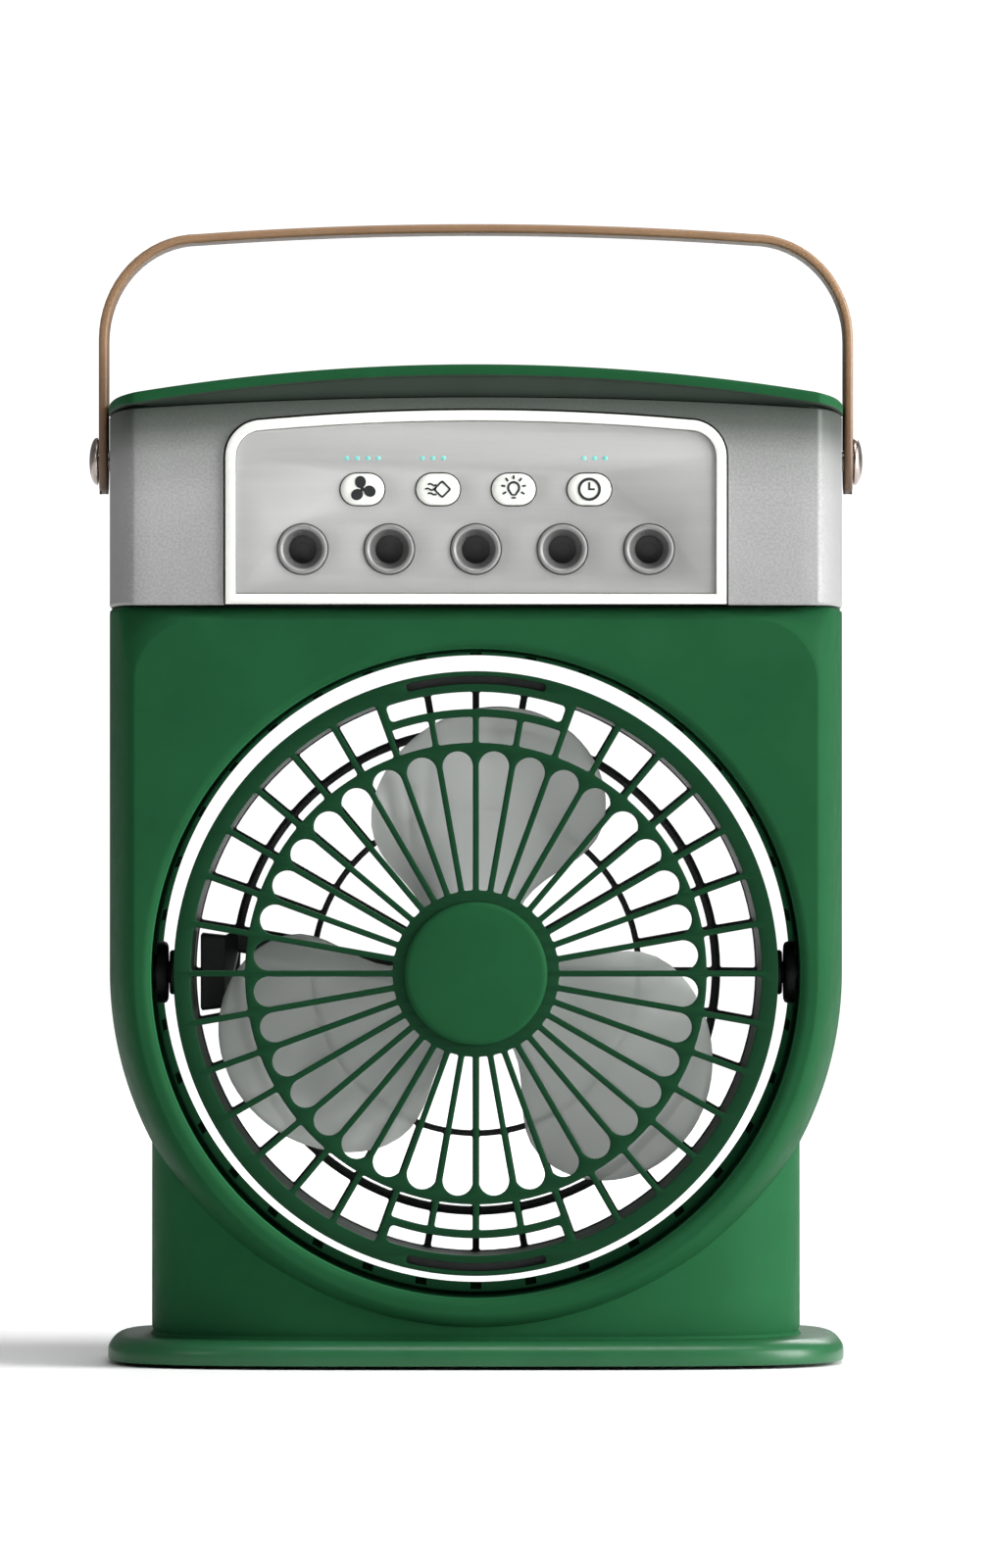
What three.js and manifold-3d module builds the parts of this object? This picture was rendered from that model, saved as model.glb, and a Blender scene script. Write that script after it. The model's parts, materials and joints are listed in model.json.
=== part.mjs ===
// Portable desk fan with a water tank: an oval foot, a barrel-shaped body with a round tunnel, a fan head
// that tilts inside the tunnel, and above it a frosted tank with a mist panel, an arched lid and a strap.
// Millimetres, +Z up, the front faces -Y. The origin is on the floor, under the middle of the foot.
import * as THREE from "three";
import { mergeVertices } from "three/addons/utils/BufferGeometryUtils.js";
import Module from "manifold-3d";

const wasm = await Module();
wasm.setup();

// ---------------------------------------------------------------- driving dimensions
const SEAT = 0.2; // gap between pieces that sit on each other
const RUN = 0.3; // gap between pieces that move against each other

const BASE = { halfX: 85, halfY: 52, bottom: 0.8, top: 6.5, exponent: 4 };
const FOOT = { radius: 6, height: 2.4, x: 64, y: 33 };
const BASE_SCREW = { x: 68.5, y: 16, headRadius: 3.2, shaftRadius: 1.4, length: 17 };
const PEDESTAL = { halfX: 75, halfY: 45, exponent: 3.5, wall: 2.4, top: 56, postRadius: 4.2, postTop: 30 };
const USB = { x: 48, z: 17, halfX: 4.7, halfZ: 1.7, front: 33, back: 40.4, wall: 0.5, windowGap: 0.5 };

const BODY = {
  halfWidth: 84.8,
  flatHalf: 77.5,
  front: 50,
  back: 46,
  top: 173.9,
  topRound: 3.1,
  faceCorner: 14.5,
  wall: 2.3,
};
const HOLE = { z: 90.2, radius: 74, wall: 2 };
const SHELL_SCREW = { x: 70, z: 158, headRadius: 3, shaftRadius: 1.3, headY: 30, tipY: -22 };

const TANK = { bottom: 174.1, topMiddle: 221.4, archDrop: 3, wall: 2.2 };
const LID = { halfWidth: 85, front: 51, back: 47, topMiddle: 228.9, archDrop: 7.6, thickness: 2.6 };
const SKIRT = { inset: 3, wall: 2 };
const HATCH = { halfX: 45, front: -9, back: 22, gap: 0.4 };
const HATCH_LIP = { halfX: 9, depth: 3, bottom: 228, top: 230.4 };
const HINGE = {
  y: 24.5,
  z: 229.4,
  barrelRadius: 1.8,
  barrelHalf: 19.5,
  bracketEnd: 26.5,
  bracketBottom: 226.2,
  pinRadius: 0.8,
};

const PANEL = { halfX: 57, bottom: 174.3, top: 218.4, archDrop: 3, corner: 8.4, frame: 2.35 };
const PANEL_DEPTH = { frameFront: -51, frameBack: -46.5, plateFront: -50.3, plateBack: -48.3 };
const RECESS = { halfX: 57.4, back: -30.2, top: 219.2 };
const BUTTON = { z: 200.4, pitch: 17.2, halfX: 5, halfZ: 3.6, front: -51.1, back: -47.6, count: 4 };
const NOZZLE = { z: 186.8, pitch: 19.7, radius: 5.7, bore: 3.2, front: -50.9, back: -42.6, count: 5 };
const DISC = { radius: 4.8, thickness: 0.8 };
const WICK = { radius: 3.1, back: -10 };
const BOARD = { halfX: 46, bottom: 193.4, top: 212, front: -43, back: -41.4 };

const STRAP = { inner: 85.3, thickness: 2, halfWidth: 7.6, bottom: 200.9, top: 263.2, crown: 2.3 };
const STRAP_CORNER = { x: 21, z: 22.5 };
const RIVET = { z: 208.5, shaftRadius: 2.5, headRadius: 5.5, headHeight: 2.1, tip: 78.6 };

const PIVOT_Y = -22.5; // the head tilts about a line through this depth, at the height of the hole
const HEAD = { radius: 68.9, bore: 65.1, front: -25.5, back: 20.6 };
const GRILLE = { thickness: 2.6, ribs: 36, ribWidth: 1.4, hub: 18.3, slotEnd: 50.8, midRing: 52.6 };
const WINDOW = { halfAngle: 18.7, inner: 60.3, outer: 64.2, shortCell: 58.5 };
const RIM_SLOT = { halfAngle: 13.7, inner: 66, outer: 67.8 };
const GUARD = { rim: 67.4, thickness: 2.2, dish: 8.6, dishStart: 65.5, dishEnd: 56 };
// The rear guard's three zones of openings: how many ribs, and the radii where the openings start and end.
const GUARD_ZONES = [[12, 17, 37.2], [36, 38.6, 54.9], [36, 56.9, 64.8]];
const GUARD_RIB_WIDTH = 1.6;
const BUSH = { face: 70.7, flangeEnd: 73.3, flangeRadius: 7.15, shankRadius: 4, shankEnd: 77.4, bore: 2.8 };
const PIN = { radius: 2.5, flangeRadius: 5.1, flangeStart: 69.2, flangeEnd: 70.4, inner: 65.6, outer: 76.6 };
const MOTOR = { radius: 14.5, front: 9.5, back: 27.2, shaftRadius: 1.5, shaftFront: -14 };
const ROTOR = { hubRadius: 16.5, hubFront: -17.5, hubBack: 3, blades: 3, firstBlade: 2.5 };
const BLADE = {
  root: 13,
  tip: 61.5,
  middleY: -7.5,
  thickness: 1.6,
  rootHalf: 11,
  widestHalf: 28.5,
  widestAt: 0.64,
  sweep: 13,
  rootPitch: 0.62,
  tipPitch: 0.3,
};

// Flat duct for the motor lead: sections along X with the middle and half height and the front and back depth.
const LEAD_DUCT = [
  { x: -63.6, middleZ: 0, halfZ: 9, front: 10, back: 19.5 },
  { x: -57.5, middleZ: 0, halfZ: 8.4, front: 10.5, back: 20.4 },
  { x: -55, middleZ: 7, halfZ: 2.6, front: 15, back: 23.5 },
  { x: -14.9, middleZ: -1, halfZ: 2.6, front: 15, back: 26 },
];
const POWER_BOARD = { x: [45, 59], y: [14, 31], z: [13.4, 15] };
const LIGHT_BOARD = { x: [-34, 34], y: [8, 26], z: [169.4, 171.2] };

// ---------------------------------------------------------------- materials
const paint = (color, roughness, metalness = 0) =>
  new THREE.MeshStandardMaterial({ color, roughness, metalness });
const look = {
  green: () => paint(0x2f8a4e, 0.38),
  darkGreen: () => paint(0x1f5a34, 0.42),
  black: () => paint(0x16181a, 0.5),
  rubber: () => paint(0x202022, 0.85),
  frosted: () => paint(0xa9adac, 0.55),
  silver: () => paint(0xb4b8b8, 0.42, 0.35),
  white: () => paint(0xf2f4f0, 0.35),
  steel: () => paint(0xc4c2c0, 0.3, 1),
  tan: () => paint(0x96704f, 0.6),
  smoke: () => paint(0x9a9d9b, 0.3),
  board: () => paint(0x2c6b48, 0.6),
  cotton: () => paint(0xe9e6dc, 0.95),
};

// ---------------------------------------------------------------- solids and placing
function toSolid(geometry) {
  const bare = geometry.index ? geometry.toNonIndexed() : geometry.clone();
  bare.deleteAttribute("normal");
  bare.deleteAttribute("uv");
  const merged = mergeVertices(bare, 1e-4);
  return new wasm.Manifold(
    new wasm.Mesh({
      numProp: 3,
      vertProperties: new Float32Array(merged.attributes.position.array),
      triVerts: new Uint32Array(merged.index.array),
    }),
  );
}

function toGeometry(solid) {
  const made = solid.getMesh();
  const geometry = new THREE.BufferGeometry();
  geometry.setAttribute("position", new THREE.BufferAttribute(made.vertProperties, 3));
  geometry.setIndex(new THREE.BufferAttribute(made.triVerts, 1));
  geometry.computeVertexNormals();
  return geometry;
}

function addPiece(group, name, shape, material, place = [0, 0, 0]) {
  const geometry = shape.isBufferGeometry ? shape : toGeometry(shape);
  const mesh = new THREE.Mesh(geometry, material);
  mesh.name = name;
  mesh.position.set(...place);
  group.add(mesh);
  return mesh;
}

const radians = THREE.MathUtils.degToRad;
const corners = (x, y) => [[-x, -y], [x, -y], [-x, y], [x, y]];
const rowOf = ({ count, pitch }) =>
  Array.from({ length: count }, (_, i) => (i - (count - 1) / 2) * pitch);

// ---------------------------------------------------------------- shape helpers
// A closed body through rings that hold the same number of points, with a fan over each end.
function loft(rings) {
  const count = rings[0].length;
  const points = rings.flat();
  const faces = [];
  for (let ring = 0; ring + 1 < rings.length; ring++) {
    for (let i = 0; i < count; i++) {
      const a = ring * count + i;
      const b = ring * count + ((i + 1) % count);
      faces.push([a, b, b + count], [a, b + count, a + count]);
    }
  }
  const middleOf = (ring) =>
    ring.reduce((sum, p) => sum.add(p), new THREE.Vector3()).divideScalar(count);
  const first = points.push(middleOf(rings[0])) - 1;
  const last = points.push(middleOf(rings[rings.length - 1])) - 1;
  const lastRing = (rings.length - 1) * count;
  for (let i = 0; i < count; i++) {
    const next = (i + 1) % count;
    faces.push([first, next, i], [last, lastRing + i, lastRing + next]);
  }
  const volume = faces.reduce(
    (sum, [a, b, c]) => sum + points[a].dot(points[b].clone().cross(points[c])),
    0,
  );
  const index = faces.flatMap(([a, b, c]) => (volume > 0 ? [a, b, c] : [a, c, b]));
  const geometry = new THREE.BufferGeometry().setFromPoints(points);
  geometry.setIndex(index);
  geometry.computeVertexNormals();
  return geometry;
}

function box(x0, x1, y0, y1, z0, z1) {
  const geometry = new THREE.BoxGeometry(x1 - x0, y1 - y0, z1 - z0);
  return geometry.translate((x0 + x1) / 2, (y0 + y1) / 2, (z0 + z1) / 2);
}

// A flat outline in X and Z, as a plate between two depths.
function plate(shape, yFront, yBack, curveSegments = 6) {
  const depth = yBack - yFront;
  const geometry = new THREE.ExtrudeGeometry(shape, { depth, bevelEnabled: false, curveSegments });
  return geometry.rotateX(Math.PI / 2).translate(0, yBack, 0);
}

// Turned shapes from [radius, height] pairs: about Y, about Z, and about X with a side of +1 or -1.
const turnedY = (profile, segments) =>
  new THREE.LatheGeometry(profile.map(([r, h]) => new THREE.Vector2(r, h)), segments);
const turnedZ = (profile, segments) => turnedY(profile, segments).rotateX(Math.PI / 2);
const turnedX = (profile, side, segments) =>
  turnedY(profile, segments).rotateZ((-side * Math.PI) / 2);

const rod = (radius, from, to) => [[0, from], [radius, from], [radius, to], [0, to]];
const tube = (inner, outer, from, to) => [
  [inner, from],
  [outer, from],
  [outer, to],
  [inner, to],
  [inner, from],
];

function superellipse(halfX, halfY, exponent, z, count = 32) {
  const power = (value) => Math.sign(value) * Math.abs(value) ** (2 / exponent);
  return Array.from({ length: count }, (_, i) => {
    const angle = (i / count) * 2 * Math.PI;
    return new THREE.Vector3(halfX * power(Math.cos(angle)), halfY * power(Math.sin(angle)), z);
  });
}

// The plan of the body, tank and lid: flat front and back, and sides that bulge out between them.
function bodyPlan({ halfWidth, flatHalf, front, back }, grow, z, steps = 7) {
  const quarter = [];
  for (let i = 0; i <= steps; i++) {
    const angle = radians((90 * i) / steps);
    quarter.push([flatHalf + grow + (halfWidth - flatHalf) * Math.sin(angle), Math.cos(angle)]);
  }
  const right = quarter.map(([x, c]) => [x, -(front + grow) * c]);
  const rightBack = quarter.slice(0, -1).reverse().map(([x, c]) => [x, (back + grow) * c]);
  const half = right.concat(rightBack);
  const left = half.slice().reverse().map(([x, y]) => [-x, y]);
  return half.concat(left).map(([x, y]) => new THREE.Vector3(x, y, z));
}

const planColumn = (plan, grow, z0, z1) =>
  toSolid(loft([bodyPlan(plan, grow, z0), bodyPlan(plan, grow, z1)]));

// A block that ends in an arch: its top at x is top - drop * (x / halfX)^2.
function archBlock(topMiddle, drop, halfX, bottomAt, steps = 20) {
  const reach = 96;
  const shape = new THREE.Shape();
  const top = (x) => topMiddle - drop * (x / halfX) ** 2;
  for (let i = 0; i <= steps; i++) {
    const x = -reach + (2 * reach * i) / steps;
    shape[i ? "lineTo" : "moveTo"](x, top(x));
  }
  for (let i = steps; i >= 0; i--) {
    const x = -reach + (2 * reach * i) / steps;
    shape.lineTo(x, bottomAt(x));
  }
  return toSolid(plate(shape, -60, 60));
}

const lidTop = (x) => LID.topMiddle - LID.archDrop * (x / LID.halfWidth) ** 2;
const tankTop = (x) => TANK.topMiddle - TANK.archDrop * (x / BODY.halfWidth) ** 2;

// ---------------------------------------------------------------- foot
function basePlate() {
  const ring = (inset, z) =>
    superellipse(BASE.halfX - inset, BASE.halfY - inset, BASE.exponent, z);
  let solid = toSolid(
    loft([
      ring(0.8, BASE.bottom),
      ring(0, BASE.bottom + 0.8),
      ring(0, 3),
      ring(1.1, 5.3),
      ring(3.8, BASE.top),
    ]),
  );
  solid = solid.subtract(drum(RUN));
  for (const [x, y] of corners(FOOT.x, FOOT.y)) {
    const pocket = turnedZ(rod(FOOT.radius + SEAT, 0, FOOT.height + SEAT), 20).translate(x, y, 0);
    solid = solid.subtract(toSolid(pocket));
  }
  for (const [x, y] of corners(BASE_SCREW.x, BASE_SCREW.y)) {
    const { headRadius, shaftRadius } = BASE_SCREW;
    const head = turnedZ(rod(headRadius + 0.4, 0, 3.4), 16).translate(x, y, 0);
    const shaft = turnedZ(rod(shaftRadius + 0.4, 2, 8), 12).translate(x, y, 0);
    solid = solid.subtract(toSolid(head)).subtract(toSolid(shaft));
  }
  return solid;
}

function rubberFoot() {
  const { radius, height } = FOOT;
  return turnedZ([[0, 0], [radius - 0.6, 0], [radius, 0.6], [radius, height], [0, height]], 16);
}

function screw({ headRadius, shaftRadius, length }) {
  const head = 2;
  return [
    [0, 0],
    [headRadius, 0],
    [headRadius, head * 0.5],
    [shaftRadius, head],
    [shaftRadius, length],
    [0, length],
  ];
}

function pedestal() {
  const { halfX, halfY, exponent, wall, top, postRadius, postTop } = PEDESTAL;
  const bottom = BASE.top + SEAT;
  const column = (inset, z0, z1) =>
    toSolid(
      loft([z0, z1].map((z) => superellipse(halfX - inset, halfY - inset, exponent, z))),
    );
  let solid = column(0, bottom, top).subtract(column(wall, bottom - 1, top + 1));
  for (const [x, y] of corners(BASE_SCREW.x, BASE_SCREW.y)) {
    solid = solid.add(toSolid(turnedZ(rod(postRadius, bottom, postTop), 16).translate(x, y, 0)));
  }
  for (const [x, y] of corners(BASE_SCREW.x, BASE_SCREW.y)) {
    const bore = turnedZ(rod(BASE_SCREW.shaftRadius + 0.3, bottom - 1, postTop - 4), 12);
    solid = solid.subtract(toSolid(bore.translate(x, y, 0)));
  }
  const windowX = USB.halfX + USB.windowGap;
  const windowZ = USB.halfZ + USB.windowGap;
  const usbWindow = box(
    USB.x - windowX,
    USB.x + windowX,
    USB.front - 3,
    halfY + 5,
    USB.z - windowZ,
    USB.z + windowZ,
  );
  return solid
    .intersect(column(0, bottom, top + 1))
    .subtract(drum(RUN))
    .subtract(toSolid(usbWindow));
}

function usbSocket() {
  const { x, z, halfX, halfZ, front, back, wall } = USB;
  const outer = toSolid(box(x - halfX, x + halfX, front, back, z - halfZ, z + halfZ));
  const cavity = box(
    x - halfX + wall,
    x + halfX - wall,
    front + wall,
    back + 1,
    z - halfZ + wall,
    z + halfZ - wall,
  );
  return outer.subtract(toSolid(cavity));
}

// ---------------------------------------------------------------- body shells
// The front view of the body at one depth: a half circle below and rounded corners above.
function bodyOutline(halfWidth, top, corner, y) {
  const points = [];
  const arc = (cx, cz, radius, from, to, steps) => {
    for (let i = 0; i <= steps; i++) {
      const angle = radians(from + ((to - from) * i) / steps);
      points.push(
        new THREE.Vector3(cx + radius * Math.cos(angle), y, cz + radius * Math.sin(angle)),
      );
    }
  };
  arc(0, HOLE.z, halfWidth, 180, 360, 22);
  arc(halfWidth - corner, top - corner, corner, 0, 90, 4);
  arc(corner - halfWidth, top - corner, corner, 90, 180, 4);
  return points;
}

// Sections of the barrel from the front face (0 degrees) through the widest depth (90) to the back (180).
function bodySections(grow, angles) {
  const bulge = BODY.halfWidth - BODY.flatHalf;
  return angles.map((degrees) => {
    const cos = Math.cos(radians(degrees));
    const depth = (cos > 0 ? BODY.front : BODY.back) + grow;
    const halfWidth = BODY.flatHalf + bulge * Math.sin(radians(degrees)) + grow;
    const nearFace = Math.max(0, (Math.abs(cos) - 0.87) / 0.13);
    const top = BODY.top - BODY.topRound * nearFace ** 2 + grow;
    const corner = 1 + (BODY.faceCorner - 1) * nearFace;
    return bodyOutline(halfWidth, top, corner, -depth * cos);
  });
}

const FRONT_ANGLES = [0, 14, 28, 48, 68, 90];
const BACK_ANGLES = FRONT_ANGLES.slice(0, -1).reverse().map((angle) => 180 - angle);

function drum(grow) {
  return toSolid(loft(bodySections(grow, FRONT_ANGLES.concat(BACK_ANGLES))));
}

function tunnelRod(radius) {
  return toSolid(turnedY(rod(radius, -60, 60), 52).translate(0, 0, HOLE.z));
}

function shell(isFront) {
  const half = isFront ? box(-90, 90, -60, 0, 0, 180) : box(-90, 90, SEAT, 60, 0, 180);
  const cavity = drum(-BODY.wall).subtract(tunnelRod(HOLE.radius + HOLE.wall));
  let solid = drum(0).subtract(cavity).intersect(toSolid(half));
  const { x, z, headRadius, shaftRadius, headY } = SHELL_SCREW;
  const postRadius = headRadius + 2;
  for (const side of [-1, 1]) {
    const at = (profile) => toSolid(turnedY(profile, 14).translate(side * x, 0, z));
    const post = isFront ? rod(postRadius, 1 - BODY.front, 0) : rod(postRadius, SEAT, BODY.back - 1);
    solid = solid.add(at(post));
    if (isFront) {
      solid = solid.subtract(at(rod(shaftRadius + 0.3, SHELL_SCREW.tipY - 2, 1)));
      const bore = rod(BUSH.shankRadius + SEAT, BUSH.face, BUSH.shankEnd + 0.6);
      solid = solid.subtract(toSolid(turnedX(bore, side, 20).translate(0, PIVOT_Y, HOLE.z)));
    } else {
      solid = solid.subtract(at(rod(shaftRadius + 0.3, -1, headY)));
      solid = solid.subtract(at(rod(headRadius + 0.4, headY - 2.3, 60)));
    }
  }
  return solid.subtract(tunnelRod(HOLE.radius));
}

function pivotBush(side) {
  const { face, flangeEnd, flangeRadius, shankRadius, shankEnd, bore } = BUSH;
  const profile = [
    [bore, face],
    [flangeRadius - 0.6, face],
    [flangeRadius, face + 0.6],
    [flangeRadius, flangeEnd],
    [shankRadius, flangeEnd],
    [shankRadius, shankEnd],
    [bore, shankEnd],
    [bore, face],
  ];
  return turnedX(profile, side, 16);
}

// ---------------------------------------------------------------- tank, lid and hatch
function waterTank() {
  const { bottom, wall } = TANK;
  const below = archBlock(TANK.topMiddle, TANK.archDrop, BODY.halfWidth, () => 100);
  const behindPanel = box(
    -RECESS.halfX - wall,
    RECESS.halfX + wall,
    -60,
    RECESS.back + wall,
    100,
    240,
  );
  const water = planColumn(BODY, -wall, bottom + wall, 240).subtract(toSolid(behindPanel));
  const recess = archBlock(RECESS.top, PANEL.archDrop, PANEL.halfX, () => 100).intersect(
    toSolid(box(-RECESS.halfX, RECESS.halfX, -60, RECESS.back, 100, 240)),
  );
  let solid = planColumn(BODY, 0, bottom, 240).intersect(below).subtract(water).subtract(recess);
  for (const side of [-1, 1]) {
    const boss = turnedX(rod(6, RIVET.tip - 2.6, BODY.halfWidth - 1), side, 20);
    const bore = turnedX(rod(RIVET.shaftRadius + RUN, RIVET.tip - 0.4, BODY.halfWidth + 2), side, 16);
    solid = solid.add(toSolid(boss.translate(0, 0, RIVET.z)));
    solid = solid.subtract(toSolid(bore.translate(0, 0, RIVET.z)));
  }
  for (const x of rowOf(NOZZLE)) {
    const hole = turnedY(rod(WICK.radius + SEAT, RECESS.back - 2, RECESS.back + wall + 2), 14);
    solid = solid.subtract(toSolid(hole.translate(x, 0, NOZZLE.z)));
  }
  return solid;
}

const lidBand = () =>
  archBlock(LID.topMiddle, LID.archDrop, LID.halfWidth, (x) => lidTop(x) - LID.thickness);

function tankLid() {
  const plan = { ...LID, flatHalf: BODY.flatHalf + 0.2 };
  const top = planColumn(plan, 0, 190, 240).intersect(lidBand());
  const skirtRing = planColumn(BODY, -SKIRT.inset, 190, 240).subtract(
    planColumn(BODY, -SKIRT.inset - SKIRT.wall, 180, 250),
  );
  const skirtBand = archBlock(
    LID.topMiddle - 1,
    LID.archDrop,
    LID.halfWidth,
    (x) => Math.min(tankTop(x) + SEAT, lidTop(x) - 2),
  );
  let solid = top.add(skirtRing.intersect(skirtBand));
  const { halfX, front, back, gap } = HATCH;
  solid = solid.subtract(toSolid(box(-halfX, halfX, front - gap, back + gap, 200, 240)));
  const notchEnd = HINGE.y + HINGE.barrelRadius + RUN + 0.2;
  const notch = box(-HINGE.bracketEnd - 0.5, HINGE.bracketEnd + 0.5, back, notchEnd, 200, 240);
  solid = solid.subtract(toSolid(notch));
  for (const side of [-1, 1]) {
    const inner = side * (HINGE.barrelHalf + RUN);
    const outer = side * HINGE.bracketEnd;
    const bracket = box(
      Math.min(inner, outer),
      Math.max(inner, outer),
      HINGE.y - 2,
      notchEnd + 1.5,
      HINGE.bracketBottom,
      HINGE.z + HINGE.barrelRadius,
    );
    solid = solid.add(toSolid(bracket));
  }
  return solid.subtract(hingeRod(HINGE.pinRadius + 0.15, 40));
}

const hingeRod = (radius, half) =>
  toSolid(turnedX(rod(radius, -half, half), 1, 12).translate(0, HINGE.y, HINGE.z));

function fillerHatch() {
  const { halfX, front, back, gap } = HATCH;
  const { bottom, top, depth } = HATCH_LIP;
  const leaf = lidBand().intersect(toSolid(box(gap - halfX, halfX - gap, front, back, 200, 240)));
  const web = box(-HINGE.barrelHalf, HINGE.barrelHalf, back - 1, HINGE.y, HINGE.bracketBottom + 1, HINGE.z);
  const lip = box(-HATCH_LIP.halfX, HATCH_LIP.halfX, front, front + depth, bottom, top);
  return leaf
    .add(toSolid(web))
    .add(toSolid(lip))
    .add(hingeRod(HINGE.barrelRadius, HINGE.barrelHalf))
    .subtract(hingeRod(HINGE.pinRadius + RUN, 40));
}

// ---------------------------------------------------------------- mist panel
// The panel's outline, shrunk by an inset: square below, rounded corners and an arched edge above.
function panelOutline(inset, Path = THREE.Shape) {
  const half = PANEL.halfX - inset;
  const bottom = PANEL.bottom + inset;
  const corner = PANEL.corner - inset;
  const top = (x) => PANEL.top - inset - PANEL.archDrop * (x / PANEL.halfX) ** 2;
  const outline = new Path();
  outline.moveTo(-half, bottom);
  outline.lineTo(half, bottom);
  const edge = half - corner;
  const centre = top(edge) - corner;
  for (let i = 0; i <= 5; i++) {
    const angle = radians(18 * i);
    outline.lineTo(edge + corner * Math.cos(angle), centre + corner * Math.sin(angle));
  }
  for (let i = 1; i < 10; i++) {
    const x = edge * (1 - i / 5);
    outline.lineTo(x, top(x));
  }
  for (let i = 5; i >= 0; i--) {
    const angle = radians(18 * i);
    outline.lineTo(-edge - corner * Math.cos(angle), centre + corner * Math.sin(angle));
  }
  return outline;
}

function panelFrame() {
  const shape = panelOutline(0);
  shape.holes.push(panelOutline(PANEL.frame, THREE.Path));
  return plate(shape, PANEL_DEPTH.frameFront, PANEL_DEPTH.frameBack);
}

function ellipsePoints(halfX, halfZ, count = 16) {
  return Array.from({ length: count }, (_, i) => {
    const angle = (i / count) * 2 * Math.PI;
    return [halfX * Math.cos(angle), halfZ * Math.sin(angle)];
  });
}

function panelPlate() {
  const shape = panelOutline(PANEL.frame + SEAT);
  const cut = (x, z, halfX, halfZ, count) => {
    const points = ellipsePoints(halfX, halfZ, count);
    shape.holes.push(new THREE.Path(points.map(([dx, dz]) => new THREE.Vector2(x + dx, z + dz))));
  };
  for (const x of rowOf(BUTTON)) {
    cut(x, BUTTON.z, BUTTON.halfX + RUN, BUTTON.halfZ + RUN, 16);
  }
  for (const x of rowOf(NOZZLE)) {
    cut(x, NOZZLE.z, NOZZLE.radius + SEAT, NOZZLE.radius + SEAT, 14);
  }
  return plate(shape, PANEL_DEPTH.plateFront, PANEL_DEPTH.plateBack);
}

function button() {
  const ring = (inset, y) =>
    ellipsePoints(BUTTON.halfX - inset, BUTTON.halfZ - inset).map(
      ([x, z]) => new THREE.Vector3(x, y, z),
    );
  return loft([
    ring(0.7, BUTTON.front),
    ring(0, BUTTON.front + 0.4),
    ring(0, BUTTON.back),
  ]);
}

function mistNozzle() {
  const { radius, bore, front, back } = NOZZLE;
  return turnedY(
    [
      [bore, front + 1.6],
      [radius - 0.9, front],
      [radius, front + 0.3],
      [radius, back],
      [bore, back],
      [bore, front + 1.6],
    ],
    14,
  );
}

const atomiserDisc = () =>
  turnedY(rod(DISC.radius, NOZZLE.back + SEAT, NOZZLE.back + SEAT + DISC.thickness), 12);

const wick = () =>
  turnedY(rod(WICK.radius, NOZZLE.back + 2 * SEAT + DISC.thickness, WICK.back), 10);

function controlBoard() {
  const { halfX, bottom, top, front, back } = BOARD;
  let solid = toSolid(box(-halfX, halfX, front, back, bottom, top));
  for (const x of rowOf(BUTTON)) {
    const body = box(x - 3, x + 3, front - 2.4, front + 0.5, BUTTON.z - 3, BUTTON.z + 3);
    const stem = turnedY(rod(1.6, front - 3.2, front), 10).translate(x, 0, BUTTON.z);
    solid = solid.add(toSolid(body)).add(toSolid(stem));
  }
  return solid;
}

// ---------------------------------------------------------------- handle
// The strap's line at an offset from its inner face, from below the right rivet over the top to the left.
function strapLine(offset) {
  const side = STRAP.inner + offset;
  const rx = STRAP_CORNER.x + offset;
  const rz = STRAP_CORNER.z + offset;
  const shoulder = side - rx;
  const top = STRAP.top - STRAP.thickness + offset;
  const crownAt = (x) => top - STRAP.crown * (x / shoulder) ** 2;
  const points = [];
  for (let i = 0; i <= 8; i++) {
    const angle = radians((90 * i) / 8);
    points.push([shoulder + rx * Math.cos(angle), top - STRAP.crown - rz * (1 - Math.sin(angle))]);
  }
  for (let i = 1; i <= 6; i++) {
    const x = shoulder * (1 - i / 6);
    points.push([x, crownAt(x)]);
  }
  const left = points.slice(0, -1).reverse().map(([x, z]) => [-x, z]);
  return [[side, STRAP.bottom - 2], ...points, ...left, [-side, STRAP.bottom - 2]];
}

function handleStrap() {
  const outer = strapLine(STRAP.thickness);
  const inner = strapLine(0).reverse();
  const shape = new THREE.Shape(outer.concat(inner).map(([x, z]) => new THREE.Vector2(x, z)));
  const band = toSolid(plate(shape, -STRAP.halfWidth, STRAP.halfWidth));
  // Seen from the side, the ends are half round.
  const side = new THREE.Shape();
  side.moveTo(-STRAP.halfWidth, 300);
  side.absarc(0, RIVET.z, STRAP.halfWidth, Math.PI, 2 * Math.PI, false);
  side.lineTo(STRAP.halfWidth, 300);
  const sideBlock = new THREE.ExtrudeGeometry(side, {
    depth: 200,
    bevelEnabled: false,
    curveSegments: 12,
  });
  sideBlock.rotateX(Math.PI / 2).rotateZ(Math.PI / 2).translate(-100, 0, 0);
  const bore = turnedX(rod(RIVET.shaftRadius + RUN, -95, 95), 1, 16).translate(0, 0, RIVET.z);
  return band.intersect(toSolid(sideBlock)).subtract(toSolid(bore));
}

function handleRivet(side) {
  const { shaftRadius, headRadius, headHeight, tip } = RIVET;
  const seat = STRAP.inner + STRAP.thickness + RUN;
  const profile = [
    [0, tip],
    [shaftRadius, tip],
    [shaftRadius, seat],
    [headRadius, seat],
    [headRadius * 0.92, seat + headHeight * 0.45],
    [headRadius * 0.62, seat + headHeight * 0.86],
    [0, seat + headHeight],
  ];
  return turnedX(profile, side, 16);
}

// ---------------------------------------------------------------- fan head, about its pivot line
const polar = (radius, degrees) =>
  new THREE.Vector2(radius * Math.sin(radians(degrees)), radius * Math.cos(radians(degrees)));

function circlePath(radius, count, Path = THREE.Path) {
  return new Path(Array.from({ length: count }, (_, i) => polar(radius, (360 * i) / count)));
}

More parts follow.
